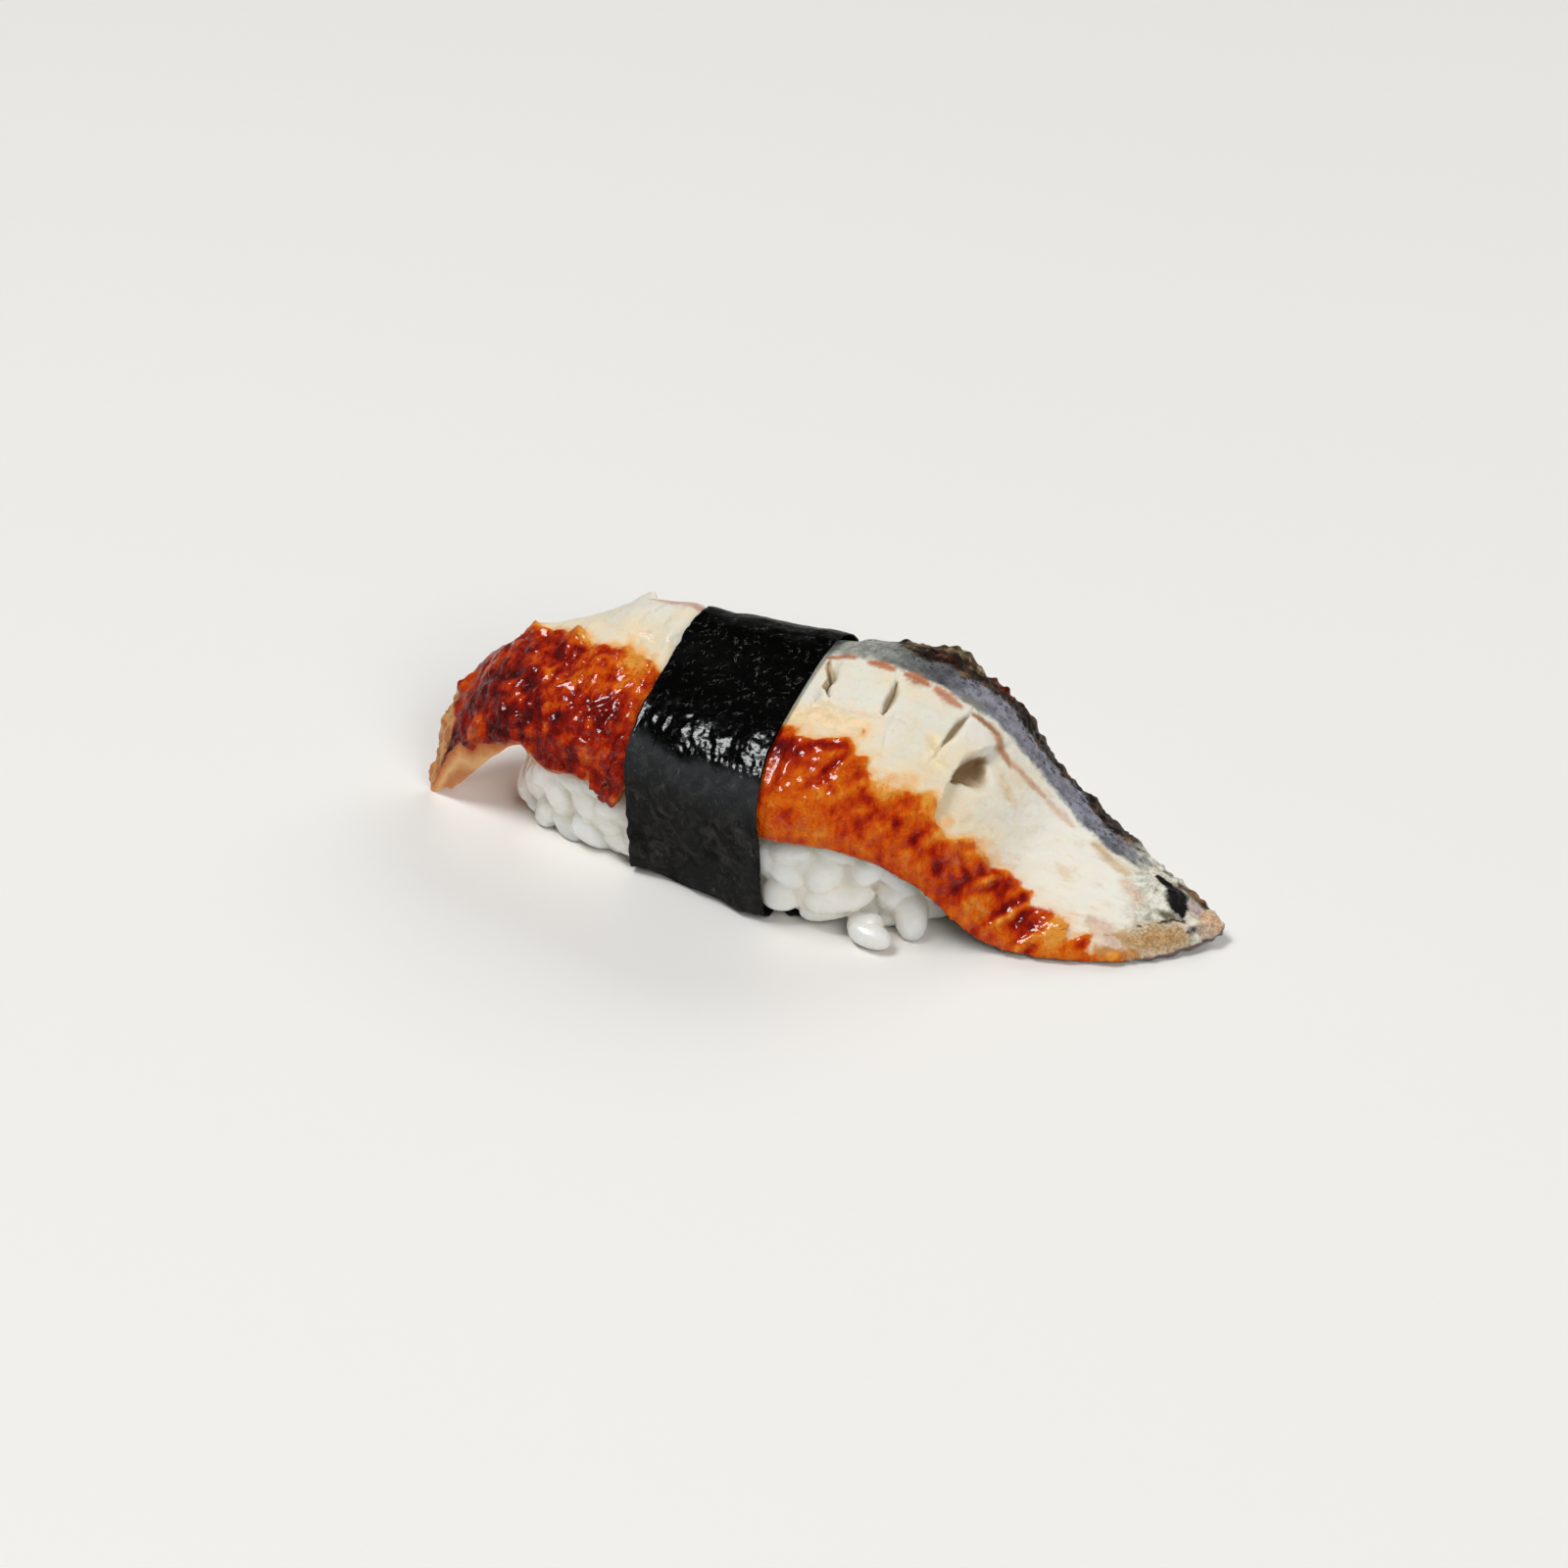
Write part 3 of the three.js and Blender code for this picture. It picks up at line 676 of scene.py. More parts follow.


# creamy near the glaze, whiter higher up, with faint streaks across the slice and painted shade down in its
# gaps and hollow
def fleshLayer(f, small, grain):
    glaze, cut, pit, left, pale = f.fields("glaze", "cut", "pit", "left", "pale")
    flesh = f.ramp(f.noise(4.5, 3), eelLook["flesh"])
    flesh = f.mix(f.between(grain, 0.5, 0.75, 0, 0.24), flesh, (206, 194, 166))
    nearGlaze = f.plus(glaze, f.swing(small, 3.0))
    creamy = f.times(f.between(nearGlaze, -5.5, -0.8, 0, 0.55), f.between(pale, 0, 1, 1, 0.35))
    flesh = f.mix(creamy, flesh, (242, 216, 172))
    flesh = f.mix(f.between(nearGlaze, -1.5, 0.2, 0, 0.75), flesh, (236, 172, 82))
    # painted shade: tan, then dark brown deeper in the gaps between flakes, and brown in the hollow
    flesh = f.mix(f.between(cut, 0.1, 0.8, 0, 0.8), flesh, (178, 152, 110))
    flesh = f.mix(f.between(cut, 1.1, 1.9, 0, 0.8), flesh, (84, 66, 44))
    flesh = f.mix(f.between(pit, 0.3, 1.2, 0, 0.9), flesh, (146, 116, 82))

    streak = f.noise(1.6, 3, 0.6, stretch=(0.35, 1, 1))
    whiter = f.times(pale, f.between(streak, 0.52, 0.68, 0.55, 0))
    flesh = f.mix(whiter, flesh, (240, 236, 226))
    flesh = f.mix(f.between(streak, 0.56, 0.72, 0, 0.3), flesh, (228, 196, 168))
    veins = f.noise(1.1, 4, 0.6, stretch=(1, 0.3, 1))
    return f.mix(f.times(left, f.between(veins, 0.52, 0.7, 0, 0.45)), flesh, (196, 186, 162))


# grey to lilac with dark specks, then the burnt crest
def hideLayer(f, small, tiny, speck):
    skin, char, pale = f.fields("skin", "char", "pale")
    cloud = f.mix(f.between(small, 0.35, 0.65), (196, 196, 196), (255, 255, 255))
    hide = f.multiplied(f.field("hideColour", "Color"), cloud)
    dirt = f.times(f.between(speck, 0.54, 0.64), f.between(char, -4.2, -0.4, 0.2, 0.95))
    hide = f.mix(dirt, hide, (46, 42, 44))
    besideFlesh = f.times(pale, f.between(skin, 1.7, 0.2))
    smudge = f.times(besideFlesh, f.between(f.noise(1.0, 3), 0.44, 0.58, 0, 0.75))
    hide = f.mix(smudge, hide, (86, 90, 86))
    charred = f.between(f.plus(char, f.times(tiny, 2.2)), -0.5, 0.3)
    return f.mix(charred, hide, f.ramp(small, eelLook["burnt"]))


# the thin end: fibrous greenish white with brown grains, and pale flecks that are painted highlights
def gristleLayer(f, body, grit):
    tip = f.field("tip")
    gristle = f.ramp(f.noise(0.8, 5, 0.65), eelLook["gristle"])
    body = f.mix(f.times(tip, f.between(f.noise(2.2, 3), 0.36, 0.52)), body, gristle)
    body = f.mix(f.times(tip, f.between(grit, 0.5, 0.36, 0, 0.25)), body, (124, 106, 82))
    # painted highlights: pale flecks over the thin end
    return f.mix(f.times(tip, f.between(grit, 0.55, 0.66, 0, 0.3)), body, (248, 238, 220))


# the strips, with crumbly edges, grainy at the thin end with painted highlight flecks, and crumbled where
# they cross the char
def stripLayer(f, body, small, tiny, grit):
    char, patch, tip = f.fields("char", "patch", "tip")
    colour = f.field("patchColour", "Color")
    mottled = f.multiplied(colour, f.mix(f.between(small, 0.35, 0.65), (236, 232, 228), (258, 257, 256)))
    # at the thin end: darker grains, and brighter flecks that are painted highlights
    grains = f.mix(f.between(grit, 0.38, 0.62), (214, 206, 196), (270, 269, 268))
    mottled = f.mix(tip, mottled, f.multiplied(mottled, grains))
    crumbled = f.multiplied(colour, f.ramp(f.noise(0.9, 5, 0.65), eelLook["crumbs"]))
    mottled = f.mix(f.between(char, -1.0, 0.3), mottled, crumbled)
    return f.mix(f.between(f.plus(patch, tiny), -0.5, 0.5), body, mottled)


# dark skin with cooking juices below; the cut side stays pale
def undersideLayer(f, body, small):
    glaze, skin, facing, side, left, tip = f.fields("glaze", "skin", "facing", "side", "left", "tip")
    belly = f.ramp(small, eelLook["belly"])
    belly = f.mix(f.times(left, 0.9), belly, (228, 134, 56))
    depth = f.times(f.plus(side, f.swing(small, 1.6)), 0.25)
    bareSide = f.mix(f.between(skin, -0.8, 0.4), (206, 178, 140), (74, 64, 60))
    cutSide = f.mix(f.between(glaze, 0.5, -1.0), f.ramp(depth, eelLook["cutSide"]), bareSide)
    cutSide = f.mix(tip, cutSide, (112, 96, 96))
    body = f.mix(f.between(facing, 0.3, 0.05), body, cutSide)
    body = f.mix(f.between(facing, -0.35, -0.6), body, belly)
    onSide = f.times(f.between(side, -0.2, 0.25), f.between(facing, -0.5, -0.3))
    return f.mix(onSide, body, cutSide)


def sauceLayer(f, small):
    glaze, knob, heat, left, rim, scorched = f.fields("glaze", "knob", "warm", "left", "rim", "scorch")
    stain = f.swing(f.noise(2.4, 3, 0.5, twist=0.6))
    flecks = f.swing(f.noise(0.8, 3, 0.5, stretch=(1, 0.6, 0.6)))
    stained = f.times(stain, f.between(left, 0, 1, 0.55, 1.0))
    warmth = f.plus(stained, f.times(flecks, f.between(left, 0, 1, 0.5, 0.7)))
    warmth = f.plus(warmth, f.plus(heat, 0.42))
    warmth = f.maths("SUBTRACT", warmth, f.times(knob, f.between(left, 0, 1, 0.06, 0.14)))
    warmth = f.maths("SUBTRACT", warmth, f.between(glaze, 1.6, -0.1, 0, 0.26))
    sauce = f.ramp(warmth, eelLook["sauce"])
    scorch = f.times(scorched, f.between(f.noise(1.8, 4, 0.6), 0.46, 0.62, 0.0, 0.5))
    sauce = f.mix(scorch, sauce, f.ramp(flecks, [(0.0, (134, 44, 36)), (0.12, (80, 18, 18))]))
    # painted glints: thin pale curly lines over the left end of the glaze
    curlLines = f.lines(f.noise(3.2, 2, 0.5, twist=1.0))
    glintCurl = f.times(f.between(curlLines, 0.014, 0.0), f.between(f.noise(1.6, 2), 0.52, 0.6, 0, 0.3))
    sauce = f.mix(f.times(glintCurl, left), sauce, (232, 150, 104))
    bareRim = f.between(f.plus(rim, f.times(flecks, 1.5)), -0.15, 0.35)
    return f.mix(bareRim, sauce, f.mix(f.between(small, 0.4, 0.6), (196, 122, 62), (222, 168, 108)))


# small wet beads among duller glaze
def wetBeads(f, coated):
    up = f.field("up")
    beads = f.times(f.times(coated, f.between(up, 0.1, 0.5)), f.between(f.noise(0.6, 2, 0.5), 0.46, 0.54))
    sparks = f.times(coated, f.between(f.noise(0.34, 2, 0.5), 0.58, 0.64, 0, 0.8))
    return f.maths("MAXIMUM", beads, f.times(sparks, f.between(up, -0.5, 0.1)))


def eelFinish():
    f = Finish("glazedEel")
    glaze, skin, char, facing, side = f.fields("glaze", "skin", "char", "facing", "side")
    tiny = f.swing(f.noise(0.45, 4))
    small = f.noise(1.3, 5, 0.6)
    grain = f.noise(0.4, 4, 0.6, stretch=(1, 0.3, 1))
    speck = f.noise(0.5, 3, 0.7)
    grit = f.noise(0.3, 3, 0.7)

    inSkin = f.between(f.plus(skin, f.times(tiny, 0.9)), -0.55, 0.4)
    body = f.mix(inSkin, fleshLayer(f, small, grain), hideLayer(f, small, tiny, speck))
    body = gristleLayer(f, body, grit)
    body = stripLayer(f, body, small, tiny, grit)
    body = undersideLayer(f, body, small)
    edge = f.between(f.plus(glaze, f.times(tiny, 0.9)), -0.3, 0.35)
    coated = f.times(f.times(edge, f.between(facing, -0.1, 0.2)), f.between(side, 0.25, -0.2))

    fibre = f.bump(grain, 0.07, f.bump(f.noise(1.1, 4, 0.6, stretch=(0.35, 1, 1)), 0.26))
    natural = f.mix(f.between(char, -0.8, 0.4), fibre, f.bump(speck, 0.2))
    crumbs = f.bump(f.noise(0.35, 3, 0.6), 0.2, f.bump(f.noise(1.0, 3, 0.6, twist=0.6), 0.75))
    bareRough = f.mix(f.between(char, -1.0, 0.5), (168, 168, 168), (200, 200, 200))
    f.set({
        "Base Color": f.mix(coated, body, sauceLayer(f, small)),
        "Normal": f.mix(coated, natural, crumbs),
        "Roughness": f.mix(coated, bareRough, (150, 150, 150)),
        "Subsurface Weight": f.between(coated, 0, 1, 0.5, 0.1),
        "Subsurface Radius": (1.0, 0.5, 0.3),
        "Subsurface Scale": 0.8 * mm,
        "Coat Weight": f.plus(f.between(coated, 0, 1, 0.22, 0.05), wetBeads(f, coated)),
        "Coat Roughness": 0.07,
        "Specular IOR Level": 0.1,
    })
    return f.material


bandLook = {
    "left": -8.3,
    "right": 8.7,
    "narrowing": 1.2,  # how much its right edge draws in over the top
    "leftBulge": 0.45,  # how far its left edge bulges where it comes down in front
    "turnsAbout": (-1.0, 10.0),  # y and z of the middle of its loop
    "around": 330,  # rows of points round the loop, and points in a row
    "across": 70,
    "drawnFrom": 40,  # distance from which the points are drawn in
    "thickness": 0.16,
    "lowest": 0.03,
    "tighter": 0.3,  # how much closer it lies than its solid, above the rice
    "bend": 17.6,  # height at which it turns down in front
    # the front below the bend is rough, and its grey stands partly for painted reflection of the bright
    # floor
    "matte": [(0.3, (10, 10, 10)), (0.5, (36, 35, 34)), (0.72, (70, 68, 64))],
    "gloss": [(0.3, (1, 1, 1)), (0.62, (3, 3, 2)), (0.85, (22, 11, 6))],
}
# the strip's free end, flat on the ground under the rice
bandEndLook = {
    "outline": [
        (7.4, -12.2), (9.4, -12.0), (10.8, -12.5), (12.3, -12.1), (13.6, -12.4), (14.6, -12.0),
        (14.4, -10.5), (14.0, -8.4), (11.4, -4.8), (7.4, -3.2),
    ],
    "steps": 12,  # points along each side of the outline
    "height": 0.2,
    "thickness": 0.2,
}


# a loop of points drawn in on to the solid band from all round, row by row
def bandLoop():
    tree = treeOf("seaweed_band")
    cy, cz = bandLook["turnsAbout"]
    points = []
    for k in range(bandLook["around"]):
        angle = 2 * math.pi * k / bandLook["around"]
        out = Vector((0, math.cos(angle), math.sin(angle)))
        left = bandLook["left"] - bandLook["leftBulge"] * bell(angle - 0.8 * math.pi, 0.7)
        right = bandLook["right"] - bandLook["narrowing"] * min(1, max(0, 1.5 * out.z))
        for i in range(bandLook["across"]):
            x = left + i / (bandLook["across"] - 1) * (right - left)
            inside = min(max(x, bandLook["left"] + 0.1), right - 0.1)
            start = Vector((inside, cy, cz)) + out * bandLook["drawnFrom"]
            spot, _, _, _ = tree.ray_cast(start, -out)
            points.append((x, spot.y, spot.z))
    return np.array(points)


def bandMesh(points):
    n, m = bandLook["around"], bandLook["across"]
    faces = []
    for k in range(n):
        for i in range(m - 1):
            a, b = k * m + i, ((k + 1) % n) * m + i
            faces.append((a, b, b + 1, a + 1))
    mesh = bpy.data.meshes.new("band")
    mesh.from_pydata([Vector(p) * mm for p in points], [], faces)
    mesh.update()
    onTop = n // 4 * m
    if meshNormals(mesh)[onTop][2] < 0:
        mesh.flip_normals()
        mesh.update()
    return mesh


# how far each point of the band moves outwards
def bandRelief(points, t):
    x, y, z = points.T
    onRice = ease(9.5 - z, 0, 2.5) * ease(z, 0.2, 1.5)  # below the eel it sags between the grains
    bend = bell(z - bandLook["bend"], 2.0) * ease(-y, 6, 9)  # crinkled where it turns down
    topRight = ease(z, 17, 21) * ease(y, -2, 5) * ease(1 - t, 0, 0.25)  # stands off the skin there
    push = -bandLook["tighter"] * (1 - ease(12 - z, 0, 5))
    push += 0.05 * lumps(points, 1.4, 21) + 0.03 * lumps(points, 0.7, 22)
    push += (0.4 + 0.45 * ease(-x, -4, 6)) * topRight
    push += onRice * (0.34 * lumps(points, 5.0, 23) + 0.16 * lumps(points, 2.2, 24) - 0.12)
    push += 0.03 * ease(z, 12, 16) * lumps(points * [1, 0.4, 0.4], 0.9, 25)
    crinkles = 0.05 * pillows(points * [1.6, 0.6, 0.6], 0.6, 28)
    crinkles += 0.07 * lumps(points * [1.6, 0.7, 0.7], 0.45, 29)
    return push + bend * (crinkles - 0.04)


def buildBand():
    points = bandLoop()
    mesh = bandMesh(points)
    t = (points[:, 0] - bandLook["left"]) / (bandLook["right"] - bandLook["left"])
    points += meshNormals(mesh) * bandRelief(points, t)[:, None]
    ripple = 0.16 * lumps(points, 1.3, 26) + 0.1 * lumps(points, 0.5, 27)
    points[:, 0] += ripple * np.where(t < 0.5, bell(t, 0.03), bell(1 - t, 0.03))
    points[:, 2] = np.maximum(points[:, 2], bandLook["lowest"])
    setPoints(mesh, points)
    addField(mesh, "height", points[:, 2])
    thing = addObject("seaweedBand", mesh)
    thicken(thing, bandLook["thickness"], -1)
    mesh = applied(thing)
    say(f"seaweed band, {len(mesh.polygons)} faces")
    return addObject("seaweedBand", mesh)


def buildBandEnd():
    outline, steps = bandEndLook["outline"], bandEndLook["steps"]
    rim = []
    for (x0, y0), (x1, y1) in zip(outline, outline[1:] + outline[:1]):
        for i in range(steps):
            rim.append((x0 + (x1 - x0) * i / steps, y0 + (y1 - y0) * i / steps, 0.0))
    rim = np.array(rim)
    rim[:, 0] += 0.14 * lumps(rim, 0.5, 31)
    rim[:, 1] += 0.18 * lumps(rim, 0.6, 32)
    bm = bmesh.new()
    bm.faces.new([bm.verts.new((px * mm, py * mm, 0.05 * mm)) for px, py, _ in rim])
    bmesh.ops.triangulate(bm, faces=bm.faces)
    bmesh.ops.subdivide_edges(bm, edges=bm.edges, cuts=2)
    mesh = bpy.data.meshes.new("bandEnd")
    bm.to_mesh(mesh)
    bm.free()
    points = meshPoints(mesh)
    points[:, 2] = bandEndLook["height"] + 0.08 * lumps(points, 1.1, 33)
    setPoints(mesh, points)
    addField(mesh, "height", np.zeros(len(points)))  # matte all over, as the band is low down
    thing = addObject("seaweedEnd", mesh)
    thicken(thing, bandEndLook["thickness"], 0)
    mesh = applied(thing)
    say(f"free end of the band, {len(mesh.polygons)} faces")
    return addObject("seaweedEnd", mesh)


def seaweedFinish():
    f = Finish("driedSeaweed")
    height = f.field("height")
    fibres = f.noise(1.6, 6, 0.62, twist=0.8)
    mottle = f.noise(4.0, 4, 0.55)
    level = f.plus(f.plus(height, f.swing(mottle, 3.0)), f.swing(fibres, 2.0))
    top = f.between(level, 15.9, 17.1)
    bend = f.times(f.between(level, 15.6, 16.8), f.between(height, 21.6, 19.2))
    # below the bend: a rough grey front, the grey partly painted reflection of the bright floor
    matte = f.ramp(fibres, bandLook["matte"])
    matte = f.mix(f.between(mottle, 0.36, 0.64, 0, 0.6), matte, (40, 41, 41))
    # painted sheen: lighter and bluer up the front towards the bend
    matte = f.mix(f.between(height, 11.5, 16.5, 0, 0.4), matte, (66, 69, 72))
    # pale thin strokes: partly the sheet's fibres, partly painted glints on top and painted highlights along
    # the front's folds
    vein = f.lines(f.noise(1.1, 3, 0.5, stretch=(1, 0.7, 0.7), twist=0.5))
    fibreGlintStroke = f.times(f.between(vein, 0.016, 0.0), f.between(f.noise(0.9, 2), 0.5, 0.6))
    matte = f.mix(f.times(fibreGlintStroke, 0.4), matte, (96, 98, 100))
    gloss = f.mix(fibreGlintStroke, f.ramp(fibres, bandLook["gloss"]), (94, 90, 88))

    # crinkles: sharp where the strip bends, faint on top
    crinkle = f.lines(f.noise(0.26, 3, 0.6, stretch=(0.5, 1, 1), twist=0.4))
    normal = f.bump(fibres, 0.2, f.bump(f.noise(0.22, 3, 0.6), 0.03))
    normal = f.bump(f.times(crinkle, f.between(bend, 0, 1, 0.08, 2.6)), 0.25, normal)
    broken = f.times(bend, f.between(f.noise(0.3, 2, 0.5, stretch=(0.5, 1, 1)), 0.4, 0.56))
    f.set({
        "Base Color": f.mix(top, matte, gloss),
        "Normal": normal,
        "Roughness": f.between(top, 0, 1, 0.66, 0.42),
        "Coat Weight": f.plus(f.between(top, 0, 1, 0.0, 0.15), f.between(broken, 0, 1, 0.0, 0.75)),
        "Coat Roughness": 0.12,
        "Specular IOR Level": 0.03,
    })
    return f.material


riceLook = {
    "size": (6.9, 3.2, 2.7),  # length, width and thickness of a grain
    "tries": 9000,  # random places tried for a grain
    "spread": 2.5,  # least distance between the middles of two grains
    "clearOfEel": 1.0,
    "sunk": 1.15,  # how deep a grain's middle lies under the bed's outline
    "flatness": 0.9,  # thickness over width of the listed grains
    "sunkShare": 0.36,  # how deep those lie, as a share of their width
    "behindBand": (-7.0, 7.2),  # stretches of x with no scattered grains
    "placedByHand": (7, 25),
    "lumpy": 0.45,
    "bent": 0.02,
    "coreVoxel": 0.6,
    "coreInset": 1.15,
    "weld": 0.2,  # mesh size where the sticky grains meet
    "filled": 7,  # rounds of filling the creases between grains
    "fill": (0.3, 0.65),  # how fast hollows rise, and how much faster at the left end
    "wear": (0.03, 0.2),  # the same for how fast bumps sink
    "keep": 0.55,  # share of faces kept afterwards
    "lowest": 0.05,
    "bandTop": 0.34,  # it stands on the seaweed, this high
    "onBand": (-8.8, 14.9),  # between these places along x
    "seed": 11,
}
# grains in front, beside the band: x, height, tilt in degrees, length, width, how far each stands out
frontGrains = [
    (8.6, 7.1, -78, 4.6, 2.6, 0.0), (11.2, 8.8, 16, 5.0, 2.9, 0.1), (11.0, 6.2, -27, 4.4, 3.0, 0.2),
    (10.4, 3.2, -4, 4.8, 3.8, 0.3), (14.9, 6.6, 90, 4.6, 4.2, 0.5), (16.6, 4.1, 11, 7.6, 3.7, 0.8),
    (15.6, 1.9, 7, 6.4, 2.8, 0.1), (19.4, 7.5, 35, 4.2, 2.9, 0.4), (21.6, 3.6, -88, 4.2, 3.0, 0.3),
    (23.3, 4.4, -80, 4.6, 3.0, 0.0), (19.4, 2.2, 12, 4.6, 3.0, 0.0), (16.1, 9.3, -11, 4.6, 2.4, 0.0),
    (20.5, 8.7, -31, 3.8, 2.2, 0.0), (22.1, 6.5, -40, 4.8, 2.6, 0.1), (18.2, 6.3, 60, 4.4, 3.0, 0.0),
    (25.4, 3.6, -60, 5.0, 3.0, 0.0), (13.0, 3.8, 80, 4.0, 3.0, -0.1), (13.2, 7.4, 80, 3.6, 2.6, -0.2),
    (26.2, 1.8, -10, 4.6, 2.8, -0.1), (-22.0, 5.4, 77, 6.6, 3.4, 0.1), (-20.6, 1.6, 72, 4.4, 2.9, 0.0),
    (-17.3, 8.2, -11, 6.4, 3.2, 0.1), (-10.6, 6.4, 14, 6.0, 2.9, 0.1), (-14.9, 5.6, -47, 5.0, 3.2, 0.1),
    (-9.9, 2.5, -11, 5.2, 3.0, 0.1), (-14.1, 1.6, -31, 5.2, 3.0, 0.0), (-17.8, 1.3, -34, 4.8, 2.9, 0.0),
    (-18.4, 4.7, -70, 5.2, 3.0, 0.1), (-12.3, 4.2, -19, 4.8, 2.8, 0.0), (-13.5, 8.3, -5, 5.0, 2.8, 0.0),
]
# grains lying loose in front: middle, heading, length and width
looseGrains = [
    ((20.6, -14.2, 1.35), (1, -0.2, -0.06), 5.2, 3.0),
    ((23.4, -10.0, 2.4), (0.37, -0.62, -0.69), 6.2, 3.9),
]
looseOut = (0.2, -0.8, 0.55)  # the way their flatter side faces


# a blunt grain one unit long, wide and thick, a little slimmer at one end
def grainShape(rings=12, around=16):
    verts, faces = [(-0.5, 0, 0)], []
    for r in range(1, rings):
        u = -math.cos(math.pi * r / rings)
        girth = (1 - abs(u) ** 2.4) ** 0.5 * (1 - 0.07 * u)
        for k in range(around):
            a = 2 * math.pi * k / around
            verts.append((0.5 * u, 0.5 * girth * math.cos(a), 0.5 * girth * math.sin(a)))
    verts.append((0.5, 0, 0))
    last = 1 + (rings - 2) * around
    for k in range(around):
        faces.append((0, 1 + (k + 1) % around, 1 + k))
        faces.append((len(verts) - 1, last + k, last + (k + 1) % around))
    for r in range(rings - 2):
        for k in range(around):
            a, b = 1 + r * around + k, 1 + r * around + (k + 1) % around
            faces.append((a, b, b + around, a + around))
    return np.array(verts), faces


# the directions of a grain's length, width and thickness
def grainAxes(heading, outward):
    run = heading / np.linalg.norm(heading)
    third = np.cross(outward, run)
    third /= np.linalg.norm(third)
    return np.array([run, third, np.cross(run, third)])


# random places on the bed's outside, with the way out
def riceSpots(rng, count):
    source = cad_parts["rice_bed"].data
    source.calc_loop_triangles()
    corners = meshPoints(source)[np.array([t.vertices for t in source.loop_triangles])]
    a, b, c = corners[:, 0], corners[:, 1], corners[:, 2]
    cross = np.cross(b - a, c - a)
    area = np.linalg.norm(cross, axis=1)
    picks = rng.choice(len(area), count, p=area / area.sum())
    u, v = rng.random((2, count))
    u, v = np.where(u + v > 1, 1 - u, u), np.where(u + v > 1, 1 - v, v)
    spots = a[picks] + u[:, None] * (b - a)[picks] + v[:, None] * (c - a)[picks]
    return spots, (cross / np.maximum(area, 1e-9)[:, None])[picks]


# the middle, heading, way out and size of each listed grain
def placedGrains():
    bed = treeOf("rice_bed")
    grains = []
    for x, height, tilt, length, width, out in frontGrains:
        spot, normal, _, _ = bed.ray_cast(Vector((x, -40, height)), Vector((0, 1, 0)))
        turn = math.radians(tilt)
        heading = Vector((math.cos(turn), 0, math.sin(turn)))
        heading = (heading - normal * heading.dot(normal)).normalized()
        middle = spot - normal * (riceLook["sunkShare"] * width - out)
        size = np.array([length, width, riceLook["flatness"] * width])
        grains.append((np.array(middle), np.array(heading), np.array(normal), size))
    for middle, heading, length, width in looseGrains:
        size = np.array([length, width, riceLook["flatness"] * width])
        grains.append((np.array(middle), np.array(heading), np.array(looseOut), size))
    return grains


# the band hides the bed's middle, and the listed grains cover its front
def coveredSpot(x, y, z):
    (left, right), (first, last) = riceLook["behindBand"], riceLook["placedByHand"]
    return left < x < right or (first < x < last and y < -9.5 and z < 10)


def scatteredGrains(rng, grains):
    eelTree = treeOf("eel_slice")
    for spot, normal in zip(*riceSpots(rng, riceLook["tries"])):
        if coveredSpot(*spot) or eelTree.find_nearest(Vector(spot))[3] < riceLook["clearOfEel"]:
            continue
        middle = spot - normal * riceLook["sunk"]
        if min(np.linalg.norm(g[0] - middle) for g in grains) < riceLook["spread"]:
            continue
        tangent = np.cross(normal, rng.normal(size=3))
        heading = tangent / np.linalg.norm(tangent) + normal * rng.uniform(-0.25, 0.2)
        size = np.array(riceLook["size"]) * rng.uniform(0.88, 1.08, 3)
        grains.append((middle, heading, normal, size))
    return grains


# which grain each point belongs to: a random tone of its own, and how far off the next grain is, for the
# painted shade where grains meet
def grainFields(points, grains, rng):
    count = len(points)
    nearest, second, shade = np.full(count, 9.0), np.full(count, 9.0), np.zeros(count)
    for middle, heading, outward, size in grains:
        inside = (points - middle) @ grainAxes(heading, outward).T / (size / 2)
        reach = np.linalg.norm(inside, axis=1)
        closer = reach < nearest
        second = np.where(closer, nearest, np.minimum(second, reach))
        nearest = np.where(closer, reach, nearest)
        shade[closer] = rng.random()
    return shade, second - nearest


# raises only what lies lower than its neighbours, so that grains sit in a shared mass
def fillCreases(mesh, rounds):
    points = meshPoints(mesh)
    soft = ease(-points[:, 0], 5, 9)  # the left end is pressed smoother
    ends = np.zeros(2 * len(mesh.edges), np.int32)
    mesh.edges.foreach_get("vertices", ends)
    a, b = ends.reshape(-1, 2).T
    count = len(points)
    degree = np.maximum(np.bincount(a, minlength=count) + np.bincount(b, minlength=count), 1)
    fill = riceLook["fill"][0] + riceLook["fill"][1] * soft
    wear = riceLook["wear"][0] + riceLook["wear"][1] * soft
    for _ in range(rounds):
        normals = meshNormals(mesh)
        mean = [np.bincount(a, points[b, k], count) + np.bincount(b, points[a, k], count) for k in range(3)]
        pull = np.column_stack(mean) / degree[:, None] - points
        rise = np.sum(pull * normals, axis=1)
        points += pull * np.where(rise > 0, fill, wear)[:, None]
        setPoints(mesh, points)


